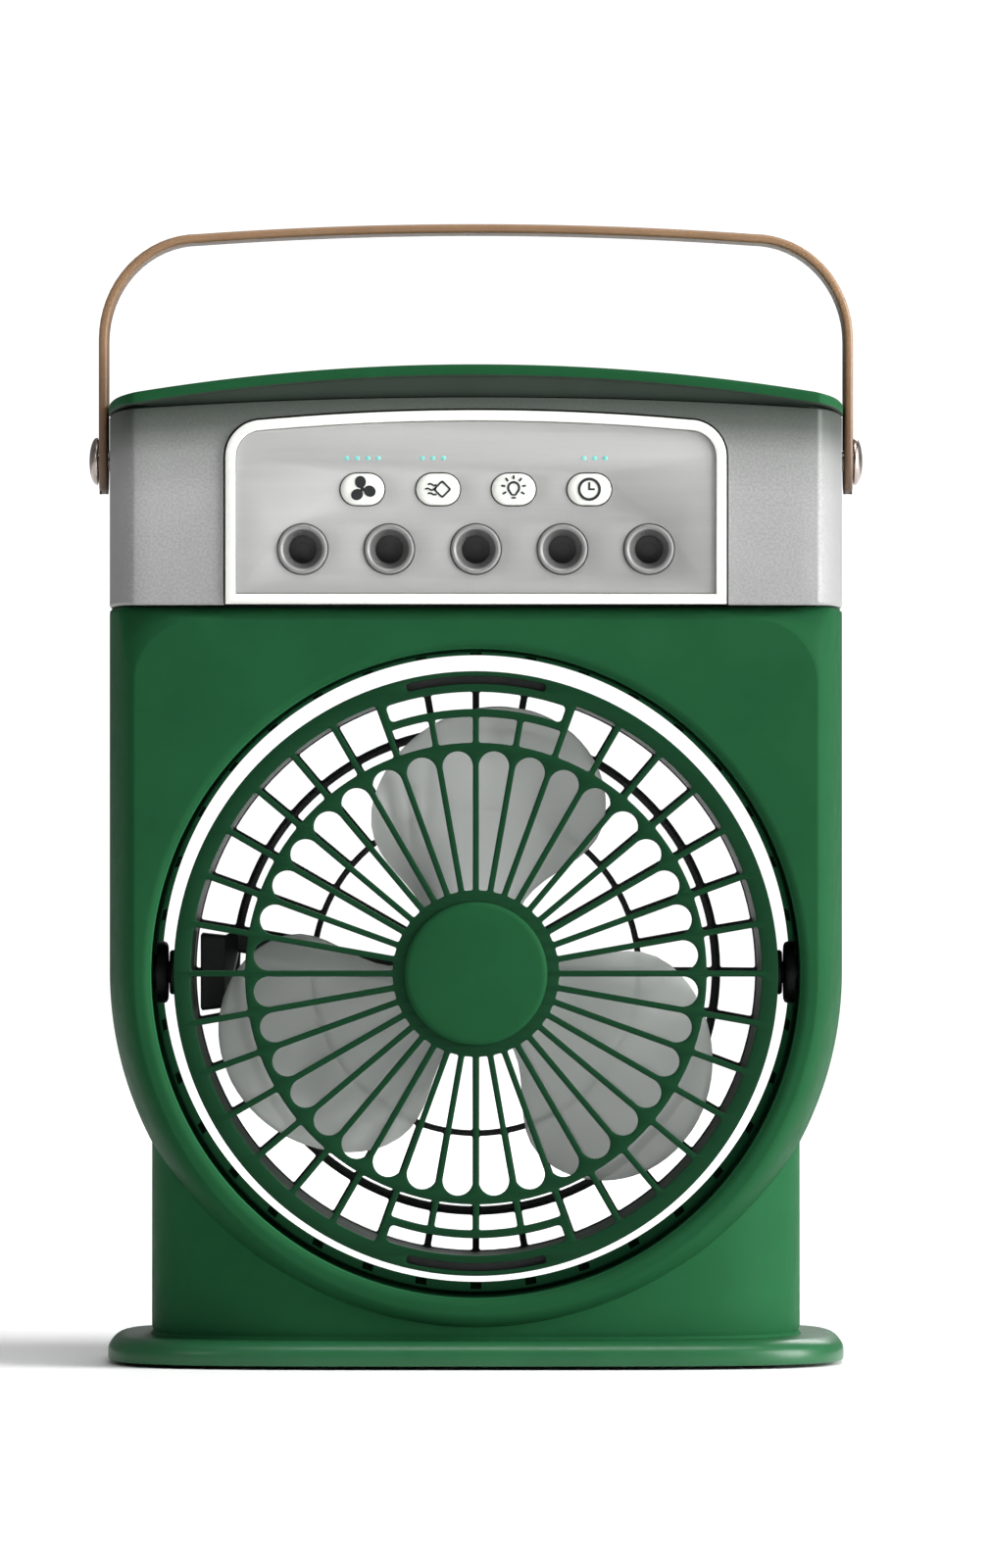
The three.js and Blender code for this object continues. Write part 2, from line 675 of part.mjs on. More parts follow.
// The opening between two neighbouring ribs, from one radius to another.
function cellBetween(ribA, ribB, width, inner, outer, roundEnd) {
  const half = (radius) => THREE.MathUtils.radToDeg(Math.asin(width / 2 / radius));
  const points = [polar(inner, ribA + half(inner)), polar(inner, ribB - half(inner))];
  if (roundEnd) {
    const middle = (ribA + ribB) / 2;
    const endRadius = (outer * Math.sin(radians((ribB - ribA) / 2)) - width / 2) / 1.08;
    const centre = polar(outer - endRadius, middle);
    for (let i = 0; i <= 4; i++) {
      const turn = polar(endRadius, middle + 90 - 45 * i);
      points.push(centre.clone().add(turn));
    }
  } else {
    points.push(polar(outer, ribB - half(outer)), polar(outer, ribA + half(outer)));
  }
  return new THREE.Path(points);
}

function arcOpening(middle, halfAngle, inner, outer, steps) {
  const points = [];
  for (let i = 0; i <= steps; i++) {
    points.push(polar(inner, middle - halfAngle + (2 * halfAngle * i) / steps));
  }
  for (let i = steps; i >= 0; i--) {
    points.push(polar(outer, middle - halfAngle + (2 * halfAngle * i) / steps));
  }
  return new THREE.Path(points);
}

function frontGrille() {
  const { ribs, ribWidth, hub, slotEnd, midRing, thickness } = GRILLE;
  const step = 360 / ribs;
  const shape = circlePath(HEAD.radius, 64, THREE.Shape);
  for (let i = 0; i < ribs; i++) {
    const a = i * step;
    const b = a + step;
    shape.holes.push(cellBetween(a, b, ribWidth, hub + 0.9, slotEnd, true));
    const fromVertical = Math.abs(((a + step / 2 + 90) % 180) - 90);
    const end = fromVertical < 2 * step ? WINDOW.shortCell : HEAD.bore;
    shape.holes.push(cellBetween(a, b, ribWidth, midRing, end, false));
  }
  for (const middle of [0, 180]) {
    shape.holes.push(arcOpening(middle, WINDOW.halfAngle, WINDOW.inner, WINDOW.outer, 6));
    shape.holes.push(arcOpening(middle, RIM_SLOT.halfAngle, RIM_SLOT.inner, RIM_SLOT.outer, 4));
  }
  return plate(shape, HEAD.front, HEAD.front + thickness);
}

const hubCap = () =>
  turnedY(
    [
      [0, HEAD.front - 1.8],
      [15.2, HEAD.front - 1.5],
      [16.3, HEAD.front - 0.9],
      [16.3, HEAD.front - SEAT],
      [0, HEAD.front - SEAT],
    ],
    30,
  );

function headDuct() {
  const from = HEAD.front + GRILLE.thickness + SEAT;
  const wall = turnedY(
    [
      [HEAD.bore, from],
      [HEAD.radius, from],
      [HEAD.radius, HEAD.back - 8],
      [HEAD.radius - 1.4, HEAD.back],
      [HEAD.bore, HEAD.back],
      [HEAD.bore, from],
    ],
    52,
  );
  const bore = turnedX(rod(PIN.radius + SEAT, -75, 75), 1, 14);
  return toSolid(wall).subtract(toSolid(bore));
}

function rearGuard() {
  const { rim, thickness, dish, dishStart, dishEnd } = GUARD;
  const shape = circlePath(rim, 60, THREE.Shape);
  for (const [ribs, inner, outer] of GUARD_ZONES) {
    for (let i = 0; i < ribs; i++) {
      const a = (360 * i) / ribs;
      shape.holes.push(cellBetween(a, a + 360 / ribs, GUARD_RIB_WIDTH, inner, outer, false));
    }
  }
  const back = HEAD.back + SEAT + thickness;
  const geometry = plate(shape, back - thickness, back);
  const position = geometry.getAttribute("position");
  for (let i = 0; i < position.count; i++) {
    const radius = Math.hypot(position.getX(i), position.getZ(i));
    const share = THREE.MathUtils.clamp((dishStart - radius) / (dishStart - dishEnd), 0, 1);
    position.setY(i, position.getY(i) + dish * share);
  }
  return geometry;
}

const leadDuct = () =>
  loft(
    LEAD_DUCT.map(({ x, middleZ, halfZ, front, back }) => [
      new THREE.Vector3(x, front, middleZ - halfZ),
      new THREE.Vector3(x, back, middleZ - halfZ),
      new THREE.Vector3(x, back, middleZ + halfZ),
      new THREE.Vector3(x, front, middleZ + halfZ),
    ]),
  );

function pivotPin(side) {
  const { radius, flangeRadius, flangeStart, flangeEnd, inner, outer } = PIN;
  const profile = [
    [0, inner],
    [radius, inner],
    [radius, flangeStart],
    [flangeRadius, flangeStart],
    [flangeRadius, flangeEnd],
    [radius, flangeEnd],
    [radius, outer],
    [0, outer],
  ];
  return turnedX(profile, side, 14);
}

function motor() {
  const { radius, front, back, shaftRadius } = MOTOR;
  return turnedY(
    [
      [shaftRadius + RUN, front - 2],
      [4, front - 2],
      [4, front],
      [radius - 1, front],
      [radius, front + 1],
      [radius, back],
      [0, back],
      [0, front + 8],
      [shaftRadius + RUN, front + 8],
      [shaftRadius + RUN, front - 2],
    ],
    28,
  );
}

const motorShaft = () =>
  turnedY(rod(MOTOR.shaftRadius, MOTOR.shaftFront, MOTOR.front + 7), 12);

// One blade as a grid over its length (u) and its width (v), with a pitch that flattens to the tip.
function bladeGeometry(middle) {
  const { root, tip, middleY, thickness, rootHalf, widestHalf, widestAt, sweep } = BLADE;
  const { lerp, smoothstep, radToDeg } = THREE.MathUtils;
  const across = 6;
  const stations = [0, 0.16, 0.34, 0.52, 0.68, 0.82, 0.93, 0.985];
  const halfWidth = (u) => {
    const beyond = (u - widestAt) / (1 - widestAt);
    if (beyond >= 0) return widestHalf * Math.sqrt(1 - beyond ** 2);
    return lerp(rootHalf, widestHalf, smoothstep(u, 0, widestAt));
  };
  const ring = (u) => {
    const radius = lerp(root, tip, u);
    const pitch = lerp(BLADE.rootPitch, BLADE.tipPitch, u);
    const turn = middle + sweep * (u - 0.5);
    const side = (v, lift) => {
      const along = halfWidth(u) * v;
      const point = polar(radius, turn + radToDeg(along / radius));
      return new THREE.Vector3(point.x, middleY + pitch * along + lift, point.y);
    };
    const front = [];
    const back = [];
    for (let i = 0; i <= across; i++) {
      const v = (2 * i) / across - 1;
      front.push(side(v, -thickness / 2));
      back.unshift(side(v, thickness / 2));
    }
    return front.concat(back);
  };
  return loft(stations.map(ring));
}

function impeller() {
  const { hubRadius, hubFront, hubBack, blades, firstBlade } = ROTOR;
  let solid = toSolid(
    turnedY(
      [
        [0, hubFront],
        [hubRadius - 2.5, hubFront],
        [hubRadius, hubFront + 2.5],
        [hubRadius, hubBack],
        [0, hubBack],
      ],
      32,
    ),
  );
  for (let i = 0; i < blades; i++) {
    solid = solid.add(toSolid(bladeGeometry(firstBlade + (360 / blades) * i)));
  }
  return solid.subtract(toSolid(turnedY(rod(MOTOR.shaftRadius + SEAT, -16, 40), 12)));
}

// ---------------------------------------------------------------- assembly
const board = ({ x, y, z }) => box(...x, ...y, ...z);

const fan = new THREE.Group();

const foot = new THREE.Group();
fan.add(foot);
addPiece(foot, "base_plate", basePlate(), look.green());
corners(FOOT.x, FOOT.y).forEach(([x, y], i) =>
  addPiece(foot, `rubber_foot_${i + 1}`, rubberFoot(), look.rubber(), [x, y, 0]),
);
corners(BASE_SCREW.x, BASE_SCREW.y).forEach(([x, y], i) =>
  addPiece(foot, `base_screw_${i + 1}`, turnedZ(screw(BASE_SCREW), 10), look.steel(), [x, y, 1.2]),
);
addPiece(foot, "pedestal", pedestal(), look.green());
addPiece(foot, "usb_socket", usbSocket(), look.steel());
addPiece(foot, "power_board", board(POWER_BOARD), look.board());

const body = new THREE.Group();
fan.add(body);
addPiece(body, "front_shell", shell(true), look.green());
addPiece(body, "rear_shell", shell(false), look.green());
for (const [side, name] of [[-1, "left"], [1, "right"]]) {
  const { x, z, headY, tipY, headRadius, shaftRadius } = SHELL_SCREW;
  const profile = screw({ headRadius, shaftRadius, length: headY - tipY });
  const geometry = turnedY(profile, 10).rotateX(Math.PI);
  addPiece(body, `shell_screw_${name}`, geometry, look.steel(), [side * x, headY, z]);
  addPiece(body, `pivot_bush_${name}`, pivotBush(side), look.black(), [0, PIVOT_Y, HOLE.z]);
}
addPiece(body, "light_board", board(LIGHT_BOARD), look.board());

const top = new THREE.Group();
fan.add(top);
addPiece(top, "water_tank", waterTank(), look.frosted());
addPiece(top, "tank_lid", tankLid(), look.green());
addPiece(top, "hatch_hinge_pin", hingeRod(HINGE.pinRadius, HINGE.bracketEnd), look.steel());
addPiece(top, "filler_hatch", fillerHatch(), look.green());

const panel = new THREE.Group();
top.add(panel);
addPiece(panel, "panel_frame", panelFrame(), look.white());
addPiece(panel, "panel_plate", panelPlate(), look.silver());
addPiece(panel, "control_board", controlBoard(), look.board());
const BUTTON_NAMES = ["fan", "mist", "light", "timer"];
rowOf(BUTTON).forEach((x, i) =>
  addPiece(panel, `button_${BUTTON_NAMES[i]}`, button(), look.white(), [x, 0, BUTTON.z]),
);
rowOf(NOZZLE).forEach((x, i) => {
  const place = [x, 0, NOZZLE.z];
  addPiece(panel, `mist_nozzle_${i + 1}`, mistNozzle(), look.silver(), place);
  addPiece(panel, `atomiser_disc_${i + 1}`, atomiserDisc(), look.steel(), place);
  addPiece(panel, `wick_${i + 1}`, wick(), look.cotton(), place);
});

const handle = new THREE.Group();
fan.add(handle);
addPiece(handle, "handle_strap", handleStrap(), look.tan());
addPiece(handle, "handle_rivet_left", handleRivet(-1), look.steel(), [0, 0, RIVET.z]);
addPiece(handle, "handle_rivet_right", handleRivet(1), look.steel(), [0, 0, RIVET.z]);

const head = new THREE.Group();
head.position.set(0, PIVOT_Y, HOLE.z);
fan.add(head);
addPiece(head, "front_grille", frontGrille(), look.darkGreen());
addPiece(head, "hub_cap", hubCap(), look.darkGreen());
addPiece(head, "head_duct", headDuct(), look.darkGreen());
addPiece(head, "rear_guard", rearGuard(), look.black());
addPiece(head, "lead_duct", leadDuct(), look.black());
addPiece(head, "pivot_pin_left", pivotPin(-1), look.black());
addPiece(head, "pivot_pin_right", pivotPin(1), look.black());
addPiece(head, "motor", motor(), look.steel());

const rotor = new THREE.Group();
head.add(rotor);
addPiece(rotor, "motor_shaft", motorShaft(), look.steel());
addPiece(rotor, "impeller", impeller(), look.smoke());

export default fan;
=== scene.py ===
"""Looks of a portable mist desk fan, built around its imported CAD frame.

Sizes are in millimetres, except in the materials and on the stage, where they are in metres.
"""

import json
import math

import bmesh
import bpy
import numpy as np
from mathutils import Matrix, Vector
from mathutils.geometry import tessellate_polygon


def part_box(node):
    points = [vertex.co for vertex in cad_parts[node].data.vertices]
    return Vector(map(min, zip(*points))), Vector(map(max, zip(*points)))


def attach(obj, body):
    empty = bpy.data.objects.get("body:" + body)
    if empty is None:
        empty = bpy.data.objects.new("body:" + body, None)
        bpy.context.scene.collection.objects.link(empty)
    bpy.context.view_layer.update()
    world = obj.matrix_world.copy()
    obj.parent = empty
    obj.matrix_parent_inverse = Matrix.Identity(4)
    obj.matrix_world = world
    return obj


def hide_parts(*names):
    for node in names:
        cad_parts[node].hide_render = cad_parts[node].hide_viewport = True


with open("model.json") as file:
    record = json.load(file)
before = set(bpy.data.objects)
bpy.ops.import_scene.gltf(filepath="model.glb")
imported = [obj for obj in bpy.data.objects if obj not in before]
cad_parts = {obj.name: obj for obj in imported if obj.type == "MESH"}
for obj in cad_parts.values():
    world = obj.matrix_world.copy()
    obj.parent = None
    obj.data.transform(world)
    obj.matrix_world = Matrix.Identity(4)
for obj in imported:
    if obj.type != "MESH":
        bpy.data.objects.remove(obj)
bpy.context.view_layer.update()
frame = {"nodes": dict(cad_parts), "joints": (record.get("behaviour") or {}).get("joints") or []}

MM = 0.001
JOINTS = {joint["name"]: joint for joint in frame["joints"]}


def box_mm(node):
    """The lowest and highest corner of a CAD node, in millimetres."""
    low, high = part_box(node)
    return low / MM, high / MM


def middle_of(node):
    low, high = box_mm(node)
    return (low + high) / 2


def side_part(node):
    """How near the middle and how far out a part at one side reaches along X, and its radius."""
    low, high = box_mm(node)
    near, far = sorted((abs(low.x), abs(high.x)))
    return near, far, (high.z - low.z) / 2


# ---- sizes taken from the frame
FRONT_LOW, FRONT_HIGH = box_mm("front_shell")
_, REAR_HIGH = box_mm("rear_shell")
BASE_LOW, BASE_HIGH = box_mm("base_plate")
_, COLUMN_HIGH = box_mm("pedestal")
TANK_LOW, TANK_HIGH = box_mm("water_tank")
LID_LOW, LID_HIGH = box_mm("tank_lid")
PANEL_LOW, PANEL_HIGH = box_mm("panel_frame")
PLATE_LOW, PLATE_HIGH = box_mm("panel_plate")
GRILLE_LOW, GRILLE_HIGH = box_mm("front_grille")
DUCT_LOW, DUCT_HIGH = box_mm("head_duct")
_, GUARD_HIGH = box_mm("rear_guard")
STRAP_LOW, STRAP_HIGH = box_mm("handle_strap")
HATCH_LOW, HATCH_HIGH = box_mm("filler_hatch")
PIVOT = Vector(JOINTS["head_tilt"]["pos_m"]) / MM
HINGE = Vector(JOINTS["hatch_open"]["pos_m"]) / MM
RIVET_Z = JOINTS["handle_swing"]["pos_m"][2] / MM

# ---- sizes of the fine shapes
BODY_HALF = FRONT_HIGH.x
BODY_FRONT, BODY_BACK = -FRONT_LOW.y, REAR_HIGH.y
FLAT_HALF = 77.5  # the flat front face ends here and the side starts to bulge
FACE_TOP_ROUND = 3.1
FACE_CORNER = 14.5
SIDE_CORNER = 0.8  # the corner once the side has turned away from the face
WALL = 2.3
HOLE_RADIUS = 74.0
HOLE_ROUND = 2.0  # rounding of the tunnel's two rims
GROOVE = 0.7  # depth of the grooves in the rear half of the tunnel
SEAM = 0.35  # depth of the groove between the shells
ANGLES = np.radians(np.arange(0, 360, 0.5))  # where the body's outlines have their points

LID_CROWN_TOP = 228.9
LID_DROP = 7.6  # the lid's rim falls this much from the middle to the tips
RIM_THICKNESS = 2.6
TANK_DROP = 3.0
TANK_WALL = 2.2

PANEL_CORNER = 8.4
PANEL_DROP = 3.0
FRAME_WIDTH = 2.35

STRAP_THICKNESS = 2.0
RIB_STEP = 10.0  # degrees between the ribs of both guards
RIB_WIDTH = 1.4
HUB_RADIUS = 18.3
DUCT_BORE = 65.1
GUARD_THICKNESS = 2.2

BLADE_ROOT, BLADE_TIP = 14.0, 61.5
BLADE_HALF_ROOT, BLADE_HALF_WIDEST = 11.0, 28.5
BLADE_WIDEST_AT = 0.64  # share of the blade's length
BLADE_SWEEP = 13  # degrees from root to tip
BLADE_HALF_THICK = 0.8
FIRST_BLADE = 2.5  # degrees from the top


# ---- mesh helpers
def quarter(steps):
    """The angles from 0 to 90 degrees in equal steps."""
    return [math.radians(90 * k / steps) for k in range(steps + 1)]


def link(mesh, name, smooth_angle=40):
    mesh.validate()
    mesh.update()
    piece = bpy.data.objects.new(name, mesh)
    bpy.context.scene.collection.objects.link(piece)
    mesh.shade_smooth()
    mesh.set_sharp_from_angle(angle=math.radians(smooth_angle))
    return piece


def mesh_piece(name, points, faces, smooth_angle=40):
    """An object from points in millimetres, with its faces turned outwards."""
    mesh = bpy.data.meshes.new(name)
    mesh.from_pydata([Vector(p) * MM for p in points], [], faces)
    build = bmesh.new()
    build.from_mesh(mesh)
    bmesh.ops.remove_doubles(build, verts=build.verts, dist=1e-6)
    bmesh.ops.recalc_face_normals(build, faces=build.faces)
    build.to_mesh(mesh)
    build.free()
    return link(mesh, name, smooth_angle)


def loft(name, rings, around=False, smooth_angle=40):
    """A closed skin over rings of equal length. Around joins the last ring to the first one."""
    rings = [np.asarray(ring, float) for ring in rings]
    count = len(rings[0])
    points = [tuple(p) for ring in rings for p in ring]
    faces = []
    for r in range(len(rings) if around else len(rings) - 1):
        a, b = r * count, ((r + 1) % len(rings)) * count
        for i in range(count):
            j = (i + 1) % count
            faces.append((a + i, a + j, b + j, b + i))
    if not around:
        for ring, start in ((rings[0], 0), (rings[-1], (len(rings) - 1) * count)):
            points.append(tuple(ring.mean(axis=0)))
            middle = len(points) - 1
            faces += [(start + i, start + (i + 1) % count, middle) for i in range(count)]
    return mesh_piece(name, points, faces, smooth_angle)


def turned(name, profile, place=(0, 0, 0), axis="Y", side=1, segments=72):
    """A shape turned about an axis from [radius, height] pairs; side -1 mirrors it along the axis."""
    rings = []
    for radius, height in profile:
        ring = []
        for i in range(segments):
            angle = 2 * math.pi * i / segments
            c, s = max(radius, 0.001) * math.cos(angle), max(radius, 0.001) * math.sin(angle)
            point = {"X": (side * height, c, s), "Y": (c, side * height, s), "Z": (c, s, side * height)}
            ring.append(Vector(point[axis]) + Vector(place))
        rings.append(ring)
    closes = profile[0][0] > 0.01
    return loft(name, rings, around=closes, smooth_angle=35)


def rod(name, half_length, radius, chamfer):
    """A round bar along the hatch's hinge axis, with its ends broken."""
    short, thin = half_length - chamfer, radius - chamfer
    half = [(radius, short), (thin, half_length), (0, half_length)]
    profile = [(r, -height) for r, height in half[::-1]] + half
    return turned(name, profile, (0, HINGE.y, HINGE.z), "X")


def rounded(points, radius, steps=4):
    """A polygon with its corners rounded. Radius is one number, or one for each corner."""
    count = len(points)
    radii = [radius] * count if np.isscalar(radius) else radius
    made = []
    for i, corner in enumerate(points):
        p = np.array(corner, float)
        before = np.array(points[i - 1], float) - p
        after = np.array(points[(i + 1) % count], float) - p
        reach = min(np.linalg.norm(before), np.linalg.norm(after)) * 0.45
        u, v = before / np.linalg.norm(before), after / np.linalg.norm(after)
        half = math.acos(max(-1, min(1, float(u @ v)))) / 2
        cut = min(radii[i] / max(math.tan(half), 1e-3), reach)
        if cut < 0.05 or half > math.radians(85):
            made.append(tuple(p))
            continue
        a, b = p + u * cut, p + v * cut
        for k in range(steps + 1):
            t = k / steps
            made.append(tuple(a * (1 - t) ** 2 + 2 * p * t * (1 - t) + b * t**2))
    return made


def offset_inward(points, amount):
    """The loop moved to its left by an amount, with mitred corners."""
    loop = np.array(points, float)
    before, after = np.roll(loop, 1, axis=0), np.roll(loop, -1, axis=0)
    d1, d2 = loop - before, after - loop
    d1 /= np.maximum(np.linalg.norm(d1, axis=1, keepdims=True), 1e-9)
    d2 /= np.maximum(np.linalg.norm(d2, axis=1, keepdims=True), 1e-9)
    n1 = np.stack([-d1[:, 1], d1[:, 0]], axis=1)
    n2 = np.stack([-d2[:, 1], d2[:, 0]], axis=1)
    middle = n1 + n2
    middle /= np.maximum(np.linalg.norm(middle, axis=1, keepdims=True), 1e-9)
    cos = np.clip((middle * n1).sum(axis=1, keepdims=True), 0.5, 1)
    return loop + middle * (amount / cos)


def signed_area(points):
    p = np.array(points, float)
    q = np.roll(p, -1, axis=0)
    return float((p[:, 0] * q[:, 1] - q[:, 0] * p[:, 1]).sum() / 2)


def bend_plate(points, faces, lift):
    """Moves a flat plate in Y by its lift, after splitting every edge that the lift bends."""
    build = bmesh.new()
    corners = [build.verts.new(point) for point in points]
    for face in faces:
        build.faces.new([corners[i] for i in face])

    def bent(edge):
        a, b = (vertex.co for vertex in edge.verts)
        ends = lift(a.x, a.z), lift(b.x, b.z)
        for t in (0.25, 0.5, 0.75):
            middle = a.lerp(b, t)
            if abs(lift(middle.x, middle.z) - ends[0] * (1 - t) - ends[1] * t) > 0.05:
                return True
        return False

    for _ in range(8):
        edges = [edge for edge in build.edges if bent(edge)]
        if not edges:
            break
        bmesh.ops.subdivide_edges(build, edges=edges, cuts=1)
        bmesh.ops.triangulate(build, faces=[face for face in build.faces if len(face.verts) > 3])
    build.verts.index_update()
    moved = [(v.co.x, v.co.y + lift(v.co.x, v.co.z), v.co.z) for v in build.verts]
    kept = [[v.index for v in face.verts] for face in build.faces]
    build.free()
    return moved, kept


def cut_plate(name, outer, holes, y_front, y_back, bevel=0.3, centre=(0, 0), dish=None):
    """A flat plate in X and Z with holes through it and every edge rounded. Dish moves it in Y by radius."""
    loops = [outer if signed_area(outer) > 0 else outer[::-1]]
    loops += [hole if signed_area(hole) < 0 else hole[::-1] for hole in holes]
    levels = [
        (y_front, bevel),
        (y_front + bevel * 0.3, bevel * 0.3),
        (y_front + bevel, 0),
        (y_back - bevel, 0),
        (y_back - bevel * 0.3, bevel * 0.3),
        (y_back, bevel),
    ]
    points, faces, caps = [], [], {0: [], len(levels) - 1: []}
    starts = {}
    for n, (y, inset) in enumerate(levels):
        for k, loop in enumerate(loops):
            moved = offset_inward(loop, inset) if inset else np.array(loop, float)
            starts[n, k] = len(points)
            points += [(x + centre[0], y, z + centre[1]) for x, z in moved]
            if n in caps:
                caps[n].append([Vector((x, z, 0)) for x, z in moved])
    for n in range(len(levels) - 1):
        for k, loop in enumerate(loops):
            a, b, count = starts[n, k], starts[n + 1, k], len(loop)
            faces += [(a + i, a + (i + 1) % count, b + (i + 1) % count, b + i) for i in range(count)]
    for n, polygons in caps.items():
        faces += [tuple(starts[n, 0] + i for i in triangle) for triangle in tessellate_polygon(polygons)]
    if dish:
        points, faces = bend_plate(points, faces, lambda x, z: dish(math.hypot(x - centre[0], z - centre[1])))
    return mesh_piece(name, points, faces)


def apply_boolean(piece, cutter, operation="DIFFERENCE", solver="EXACT"):
    """Applies a boolean and removes its cutter."""
    modifier = piece.modifiers.new("cut", "BOOLEAN")
    modifier.operation = operation
    modifier.solver = solver
    modifier.object = cutter
    bpy.context.view_layer.update()
    evaluated = piece.evaluated_get(bpy.context.evaluated_depsgraph_get())
    mesh = bpy.data.meshes.new_from_object(evaluated)
    piece.modifiers.clear()
    old, piece.data = piece.data, mesh
    bpy.data.meshes.remove(old)
    mesh.shade_smooth()
    mesh.set_sharp_from_angle(angle=math.radians(35))
    bpy.data.objects.remove(cutter, do_unlink=True)


def block(name, x0, x1, y0, y1, z0, z1, bevel=0.0):
    """A box with rounded edges, from its six faces' places."""
    mesh = bpy.data.meshes.new(name)
    build = bmesh.new()
    size = Vector((x1 - x0, y1 - y0, z1 - z0)) * MM
    middle = Vector((x0 + x1, y0 + y1, z0 + z1)) * MM / 2
    bmesh.ops.create_cube(build, size=1, matrix=Matrix.Translation(middle) @ Matrix.Diagonal((*size, 1)))
    if bevel:
        edges = build.edges[:]
        bmesh.ops.bevel(build, geom=edges, offset=bevel * MM, segments=3, profile=0.5, affect="EDGES")
    build.to_mesh(mesh)
    build.free()
    return link(mesh, name)


def on_axis(y):
    """Where a shape turned about the blades' axis starts."""
    return (0, y, PIVOT.z)


def from_axis(point):
    """How far a point lies from the blades' axis."""
    return math.hypot(point.x, point.z - PIVOT.z)


# ---- materials
class Nodes:
    """A short way to write a material's nodes."""

    def __init__(self, name):
        self.material = bpy.data.materials.new(name)
        self.material.use_nodes = True
        self.tree = self.material.node_tree
        self.shader = self.tree.nodes["Principled BSDF"]
        self.place = self.tree.nodes.new("ShaderNodeTexCoord").outputs["Object"]

    def feed(self, socket, value):
        """Joins an output to a socket, or sets the socket to a value."""
        if isinstance(value, bpy.types.NodeSocket):
            self.tree.links.new(value, socket)
        else:
            socket.default_value = value

    def node(self, kind, output, inputs, **settings):
        """One output of a new node whose inputs are fed."""
        made = self.tree.nodes.new("ShaderNode" + kind)
        for key, value in settings.items():
            setattr(made, key, value)
        for key, value in inputs.items():
            self.feed(made.inputs[key], value)
        return made.outputs[output]

    def finish(self, **inputs):
        """Feeds the shader's inputs, written with underscores for spaces."""
        for key, value in inputs.items():
            self.feed(self.shader.inputs[key.replace("_", " ")], value)
        return self.material

    def noise(self, scale, detail=4, roughness=0.6, stretch=(1, 1, 1)):
        place = self.node("Mapping", "Vector", {"Vector": self.place, "Scale": stretch})
        inputs = {"Vector": place, "Scale": scale, "Detail": detail, "Roughness": roughness}
        return self.node("TexNoise", "Fac", inputs)

    def cells(self, scale, **settings):
        return self.node("TexVoronoi", "Distance", {"Vector": self.place, "Scale": scale}, **settings)

    def ramp(self, fac, *stops):
        node = self.tree.nodes.new("ShaderNodeValToRGB")
        elements = node.color_ramp.elements
        while len(elements) < len(stops):
            elements.new(0.5)
        for element, (position, colour) in zip(elements, stops):
            element.position = position
            element.color = (*colour, 1)
        self.feed(node.inputs["Fac"], fac)
        return node.outputs["Color"]

    def mottle(self, fac, dark, light):
        return self.ramp(fac, (0.3, dark), (0.7, light))

    def spread(self, fac, low, high, from_low=0.3, from_high=0.7):
        limits = {"From Min": from_low, "From Max": from_high, "To Min": low, "To Max": high}
        return self.node("MapRange", "Result", {"Value": fac, **limits})

    def bump(self, height, strength, distance, **below):
        inputs = {"Height": height, "Strength": strength, "Distance": distance}
        return self.node("Bump", "Normal", {**inputs, **below})

    def multiply(self, first, second):
        inputs = {"Factor": 1, 6: first, 7: second}
        return self.node("Mix", 2, inputs, data_type="RGBA", blend_type="MULTIPLY")

    def along(self, direction):
        """The place's share along a direction."""
        return self.node("VectorMath", "Value", {0: self.place, 1: direction}, operation="DOT_PRODUCT")

    def distance(self, kept=(1, 1, 1)):
        """How far the place lies from the origin, with only the kept directions counted."""
        place = self.node("VectorMath", "Vector", {0: self.place, 1: kept}, operation="MULTIPLY")
        return self.node("VectorMath", "Value", {0: place}, operation="LENGTH")

    def below_arch(self, reach=0.020):
        """0 at the tank's arched top and 1 at a reach below it: the band of painted shadow under the lid,
        with the lid's lower lip painted as if seen through the wall.
        """
        x, z = self.along((1, 0, 0)), self.along((0, 0, 1))
        squared = self.node("Math", "Value", {0: x, 1: x}, operation="MULTIPLY")
        bend = TANK_DROP * MM / (BODY_HALF * MM) ** 2
        arch = self.node("Math", "Value", {0: squared, 1: bend, 2: z}, operation="MULTIPLY_ADD")
        return self.spread(arch, 1, 0, TANK_HIGH.z * MM - reach, TANK_HIGH.z * MM)


def shade(colour, amount):
    return tuple(min(1.0, c * amount) for c in colour)


def grey(value):
    return (value, value, value)


def plastic(name, colour, roughness=0.5, gloss=0.5, variation=0.08, grain=0.00002, grain_scale=2600):
    """Moulded plastic: a faint mottle in its colour, a fine spark-eroded grain and uneven gloss."""
    n = Nodes(name)
    fine = n.bump(n.noise(grain_scale, 2), 0.5, grain)
    return n.finish(
        Base_Color=n.mottle(n.noise(38, 5), shade(colour, 1 - variation), shade(colour, 1 + variation)),
        Roughness=n.spread(n.noise(160, 3), roughness - 0.05, roughness + 0.05),
        Normal=n.bump(n.noise(24, 2), 0.35, 0.00012, Normal=fine),
        Specular_IOR_Level=gloss,
    )


